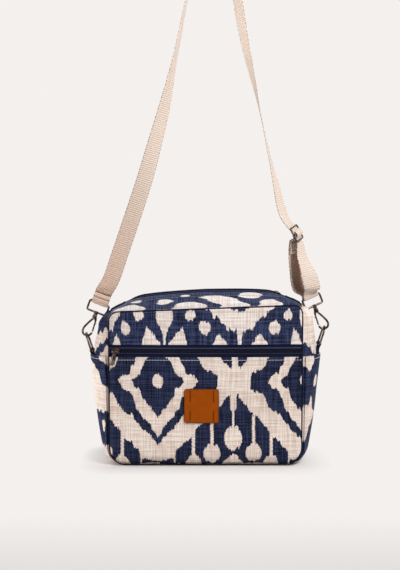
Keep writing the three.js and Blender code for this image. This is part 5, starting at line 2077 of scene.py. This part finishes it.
@dataclass(frozen=True)
class Studio:
    """A pale floor that fades into the backdrop, soft light, and the camera."""

    aim: Triple = (-8.0, 0.0, 258.2)
    distance: float = 1690.0
    pitch: float = 5.0
    lens: float = 73.0
    sensor: float = 36.0
    backdrop: Colour = (0.905, 0.872, 0.858, 1.0)
    room: Colour = (0.15, 0.145, 0.142, 1.0)
    paper: Colour = (0.70, 0.672, 0.655, 1.0)
    floor_radius: float = 6.0
    foot: Pair = (0.125, 0.04)
    shade_reach: float = 0.06
    floor_dark_from: float = 1.4
    floor_dark_over: float = 1.1
    room_fade: float = 0.75
    room_lift: float = 0.22
    lamps: tuple[Lamp, ...] = (
        Lamp("key", (0.72, -0.95, 0.5), (0.0, 0.0, -0.65), 29.0, 0.7, 180.0),
        Lamp("strap_light", (-0.8, -0.9, -0.1), (0.05, 0.0, -0.18), 0.2, 0.08, 22.0),
        Lamp("left_light", (-1.2, -0.16, -0.72), (-0.16, 0.0, -0.72), 0.28, 0.25, 24.0),
    )

    def build(self) -> None:
        """Sets up the floor, the lights, the backdrop and the camera."""
        self.floor()
        self.lights()
        self.camera()
        bpy.context.scene.view_settings.view_transform = "Standard"

    def floor(self) -> None:
        """The floor, a wide disc below the bag."""
        bpy.ops.object.select_all(action="DESELECT")
        level = Vector(to_frame(np.zeros(3)))
        bpy.ops.mesh.primitive_circle_add(vertices=96, radius=self.floor_radius, fill_type="NGON",
                                          location=level)
        floor = bpy.context.object
        floor.name = "floor"
        bpy.ops.object.transform_apply(location=True, rotation=True, scale=True)
        paint = Painter.named("stage_paper")
        x, y = paint.parts(paint.solid_place())
        aside = (abs(x + float(HANG_POINT[0]) * MM) - self.foot[0]) | 0.0
        before = (abs(y) - self.foot[1]) | 0.0
        away = (aside * aside + before * before).math("SQRT")
        paper = paint.node("ShaderNodeBsdfDiffuse", {}, {0: self.paper})
        lit = ((y + self.floor_dark_from) / self.floor_dark_over).clamped()
        glow = paint.node("ShaderNodeEmission", {}, {0: paint.mix(lit, self.room, self.backdrop), 1: 1.0})
        share = (away / self.shade_reach).clamped()
        both = paint.node("ShaderNodeMixShader", {}, {0: share, 1: paper.outputs[0], 2: glow.outputs[0]})
        paint.node("ShaderNodeOutputMaterial", {}, {0: both.outputs[0]})
        floor.data.materials.append(paint.owner)

    def lights(self) -> None:
        """A pale room, brighter behind the bag, a soft light above right and two weak ones on the left."""
        world = bpy.data.worlds.new("pale_room")
        paint = Painter(world)
        _, depth = paint.parts(paint.node("ShaderNodeTexCoord").outputs["Generated"])
        behind = (depth / self.room_fade).math("ADD", self.room_lift, clamp=True)
        background = paint.node("ShaderNodeBackground", {}, {0: paint.mix(behind, self.room, self.backdrop)})
        paint.node("ShaderNodeOutputWorld", {}, {0: background.outputs[0]})
        bpy.context.scene.world = world
        for lamp in self.lamps:
            lamp.build()

    def camera(self) -> None:
        """The camera, level with the bag and looking a little down."""
        lean = math.radians(self.pitch)
        back = np.array([0.0, -math.cos(lean), math.sin(lean)])
        data = bpy.data.cameras.new("camera")
        data.lens = self.lens
        data.sensor_width = self.sensor
        camera = Bench.place("camera", data)
        camera.location = Vector(to_frame(np.array(self.aim) + back * self.distance))
        camera.rotation_euler = (math.pi / 2 - lean, 0.0, 0.0)
        bpy.context.scene.camera = camera


@dataclass(frozen=True)
class Sheet:
    """What a cloth piece was cut to, in millimetres, how it is held, and its material slot."""

    flat: Pair
    held: str
    rests_on: tuple[str, ...]
    slot: str = "canvas"

    def declare(self, piece: Piece) -> None:
        """Unpacks the sheet's sizes and the pieces it rests on, and passes nothing on."""
        width, length = self.flat
        list(self.rests_on)


SHEETS: dict[str, Sheet] = {
    "front_pocket": Sheet((280, 157), "stretched", ("base", "side_left", "side_right")),
    "front_upper": Sheet((280, 53), "stretched", ("top_front", "side_left", "side_right")),
    "back_panel": Sheet((280, 227), "stretched", ("base", "top_back", "side_left", "side_right")),
    "pocket_lining": Sheet((270, 175), "hung", ("front_upper",), "lining"),
    "base": Sheet((236, 84), "stretched", ("front_pocket", "back_panel")),
    "top_front": Sheet((283, 40), "stretched", ("front_upper", "main_zip_tape")),
    "top_back": Sheet((283, 40), "stretched", ("back_panel", "main_zip_tape")),
    "main_zip_tape": Sheet((29, 290), "stretched", ("top_front", "top_back"), "zip_tape"),
    "pocket_zip_tape_upper": Sheet((277, 12.5), "stretched", ("front_upper",), "zip_tape"),
    "pocket_zip_tape_lower": Sheet((277, 12.5), "stretched", ("front_pocket",), "zip_tape"),
    "strap": Sheet((25, 1390), "hung", ("hook_ring_left", "hook_ring_right", "strap_slide"), "webbing"),
}
for _word in (side.word for side in Side):
    SHEETS |= {
        f"side_{_word}": Sheet((96, 234), "stretched", ("base", "top_front", "top_back")),
        f"side_pocket_{_word}": Sheet((92, 156), "stretched", (f"side_{_word}",)),
        f"zip_end_tab_{_word}": Sheet((28, 25), "folded", ("main_zip_tape",)),
        f"d_ring_tab_{_word}": Sheet((18, 42), "folded", (f"side_{_word}", f"d_ring_{_word}")),
    }


def node_of(piece: Piece) -> str:
    """The CAD node that a piece stands for, which its name begins with."""
    return piece.name.rsplit("_", 1)[0]


def lay(piece: Piece, material: Material) -> None:
    """Dresses a cloth piece in its node's place."""
    node = node_of(piece)
    settle(piece, material, SHEETS[node].slot, node)
    SHEETS[node].declare(piece)


def fit(piece: Piece, nickel: Material, body: str = BAG) -> None:
    """Dresses a metal piece in its node's place."""
    settle(piece, nickel, "nickel", node_of(piece), body)


def sew_body(form: BagForm) -> None:
    """Builds and dresses the body's cloth and its stitches.

    Args:
        form: the body's surfaces.
    """
    body = BodyCloth(form)
    left, right = (IkatCanvas(chart).material() for chart in (Chart.LEFT, Chart.RIGHT))
    # The lower front's navy is darker than the sides'; the upper front's navy is lighter and its cream cooler
    lower = IkatCanvas(Chart.LOWER, (0.0018, 0.0028, 0.0105, 1), (0.034, 0.044, 0.102, 1)).material()
    upper = IkatCanvas(Chart.UPPER, (0.0018, 0.0028, 0.0105, 1), (0.052, 0.068, 0.155, 1),
                       (0.52, 0.41, 0.35, 1), (0.91, 0.835, 0.80, 1)).material()
    # The top strips' navy and cream are lighter and cooler: painted light of the sheen where light falls on
    # the top
    top = IkatCanvas(Chart.TOP, (0.006, 0.008, 0.023, 1), (0.075, 0.094, 0.185, 1),
                     (0.56, 0.46, 0.41, 1), (0.93, 0.875, 0.85, 1), 0.3).material()
    lining = PlainCloth("navy_lining", (0.006, 0.008, 0.02, 1), (0.016, 0.02, 0.045, 1)).material()
    pocket = body.front_pocket()
    strips = {facing: body.top_strip(facing) for facing in Facing}
    flanks = {Side.LEFT: left, Side.RIGHT: right}
    slips = {side: body.side_pocket(side) for side in Side}
    walls = [(pocket, lower), (body.front_upper(), upper), (body.back_panel(), lower),
             (body.pocket_lining(), lining), (body.base(), lower),
             *((strip, top) for strip in strips.values()),
             *((body.side(side), flanks[side]) for side in Side),
             *((slip, flanks[side]) for side, slip in slips.items())]
    for shell, material in walls:
        lay(shell.build(), material)
    pale = Thread("pale_thread", (0.42, 0.42, 0.46, 1), (0.74, 0.74, 0.78, 1)).material()
    lines = [body.hem_line(pocket, None), *(body.hem_line(slips[side], side) for side in Side)]
    settle(Topstitch().row("hem_stitches", lines), pale, "webbing")
    # The seam cord's near-black colour is painted shade in the seams' creases
    dark = Thread("seam_binding", (0.002, 0.003, 0.008, 1), (0.008, 0.010, 0.022, 1), 0.0).material()
    for facing in Facing:
        settle(body.seam_binding(facing), dark, "canvas")
    blue = Thread("blue_thread", (0.10, 0.12, 0.2, 1), (0.26, 0.29, 0.40, 1)).material()
    lines = [body.top_line(strip, facing) for facing, strip in strips.items()]
    settle(Topstitch(2.6, 3.6, 0.3).row("top_stitches", lines), blue, "canvas")


def fit_zips(form: BagForm, nickel: Material) -> None:
    """Builds and dresses both zips.

    Args:
        form: the body's surfaces.
        nickel: the metal's finish.
    """
    zips = ZipWork(form)
    # Pale lines beside each coil: painted highlights along the coils' edges
    lines = (zips.middle - 3.9, zips.middle + 3.9, -zips.ridge_half, zips.ridge_half)
    tape = PlainCloth("navy_tape", (0.004, 0.0055, 0.016, 1), (0.016, 0.020, 0.046, 1), 1.2, lines).material()
    tab_cloth = PlainCloth("navy_canvas", (0.004, 0.005, 0.014, 1), (0.014, 0.018, 0.045, 1), 1.1).material()
    for shell in (zips.main_tape(), zips.pocket_tape(True), zips.pocket_tape(False)):
        lay(shell.build(), tape)
    for side in Side:
        lay(zips.end_tab(side).build(), tab_cloth)
    nylon = ZipTeeth().material()
    settle(zips.main_teeth(), nylon, "zip_tape", "main_zip_coil")
    settle(zips.pocket_teeth(), nylon, "zip_tape", "pocket_zip_coil")
    fit(zips.main_slider(), nickel)
    fit(zips.pocket_slider(), nickel)
    fit(zips.pocket_pull(), nickel, "zip_pull")


def hang_strap(form: BagForm, nickel: Material) -> None:
    """Builds and dresses the strap and its fittings.

    Args:
        form: the body's surfaces.
        nickel: the metal's finish.
    """
    hooks = {Side.LEFT: SnapHook(form, Side.LEFT, (-160.0, 218.0), 21.0, 0.0),
             Side.RIGHT: SnapHook(form, Side.RIGHT, (159.3, 227.6), 22.0, 20.0)}
    navy = PlainCloth("tab_canvas", (0.012, 0.016, 0.045, 1), (0.036, 0.05, 0.135, 1), 1.1).material()
    strap = StrapWork(hooks[Side.LEFT], hooks[Side.RIGHT])
    lay(strap.strap(), RibbedWebbing().material())
    tan = Thread("tan_thread", (0.12, 0.065, 0.035, 1), (0.27, 0.165, 0.10, 1)).material()
    settle(strap.stitches(), tan, "webbing")
    fit(strap.slide(), nickel)
    for side, hook in hooks.items():
        for piece in (hook.ring(), hook.body(), hook.d_ring()):
            fit(piece, nickel)
        fit(hook.gate(), nickel, f"gate_{side.word}")
        lay(hook.tab(), navy)


def main() -> None:
    """Builds the bag piece by piece around its frame."""
    logging.basicConfig(level=logging.INFO, format="%(name)s: %(message)s")
    Studio().build()
    form = BagForm()
    nickel = Nickel().material()
    hang_strap(form, nickel)
    sew_body(form)
    fit_zips(form, nickel)
    label = LeatherLabel(form)
    settle(label.build(), label.leather.material(), "leather", "label")


if __name__ == "__main__":
    main()
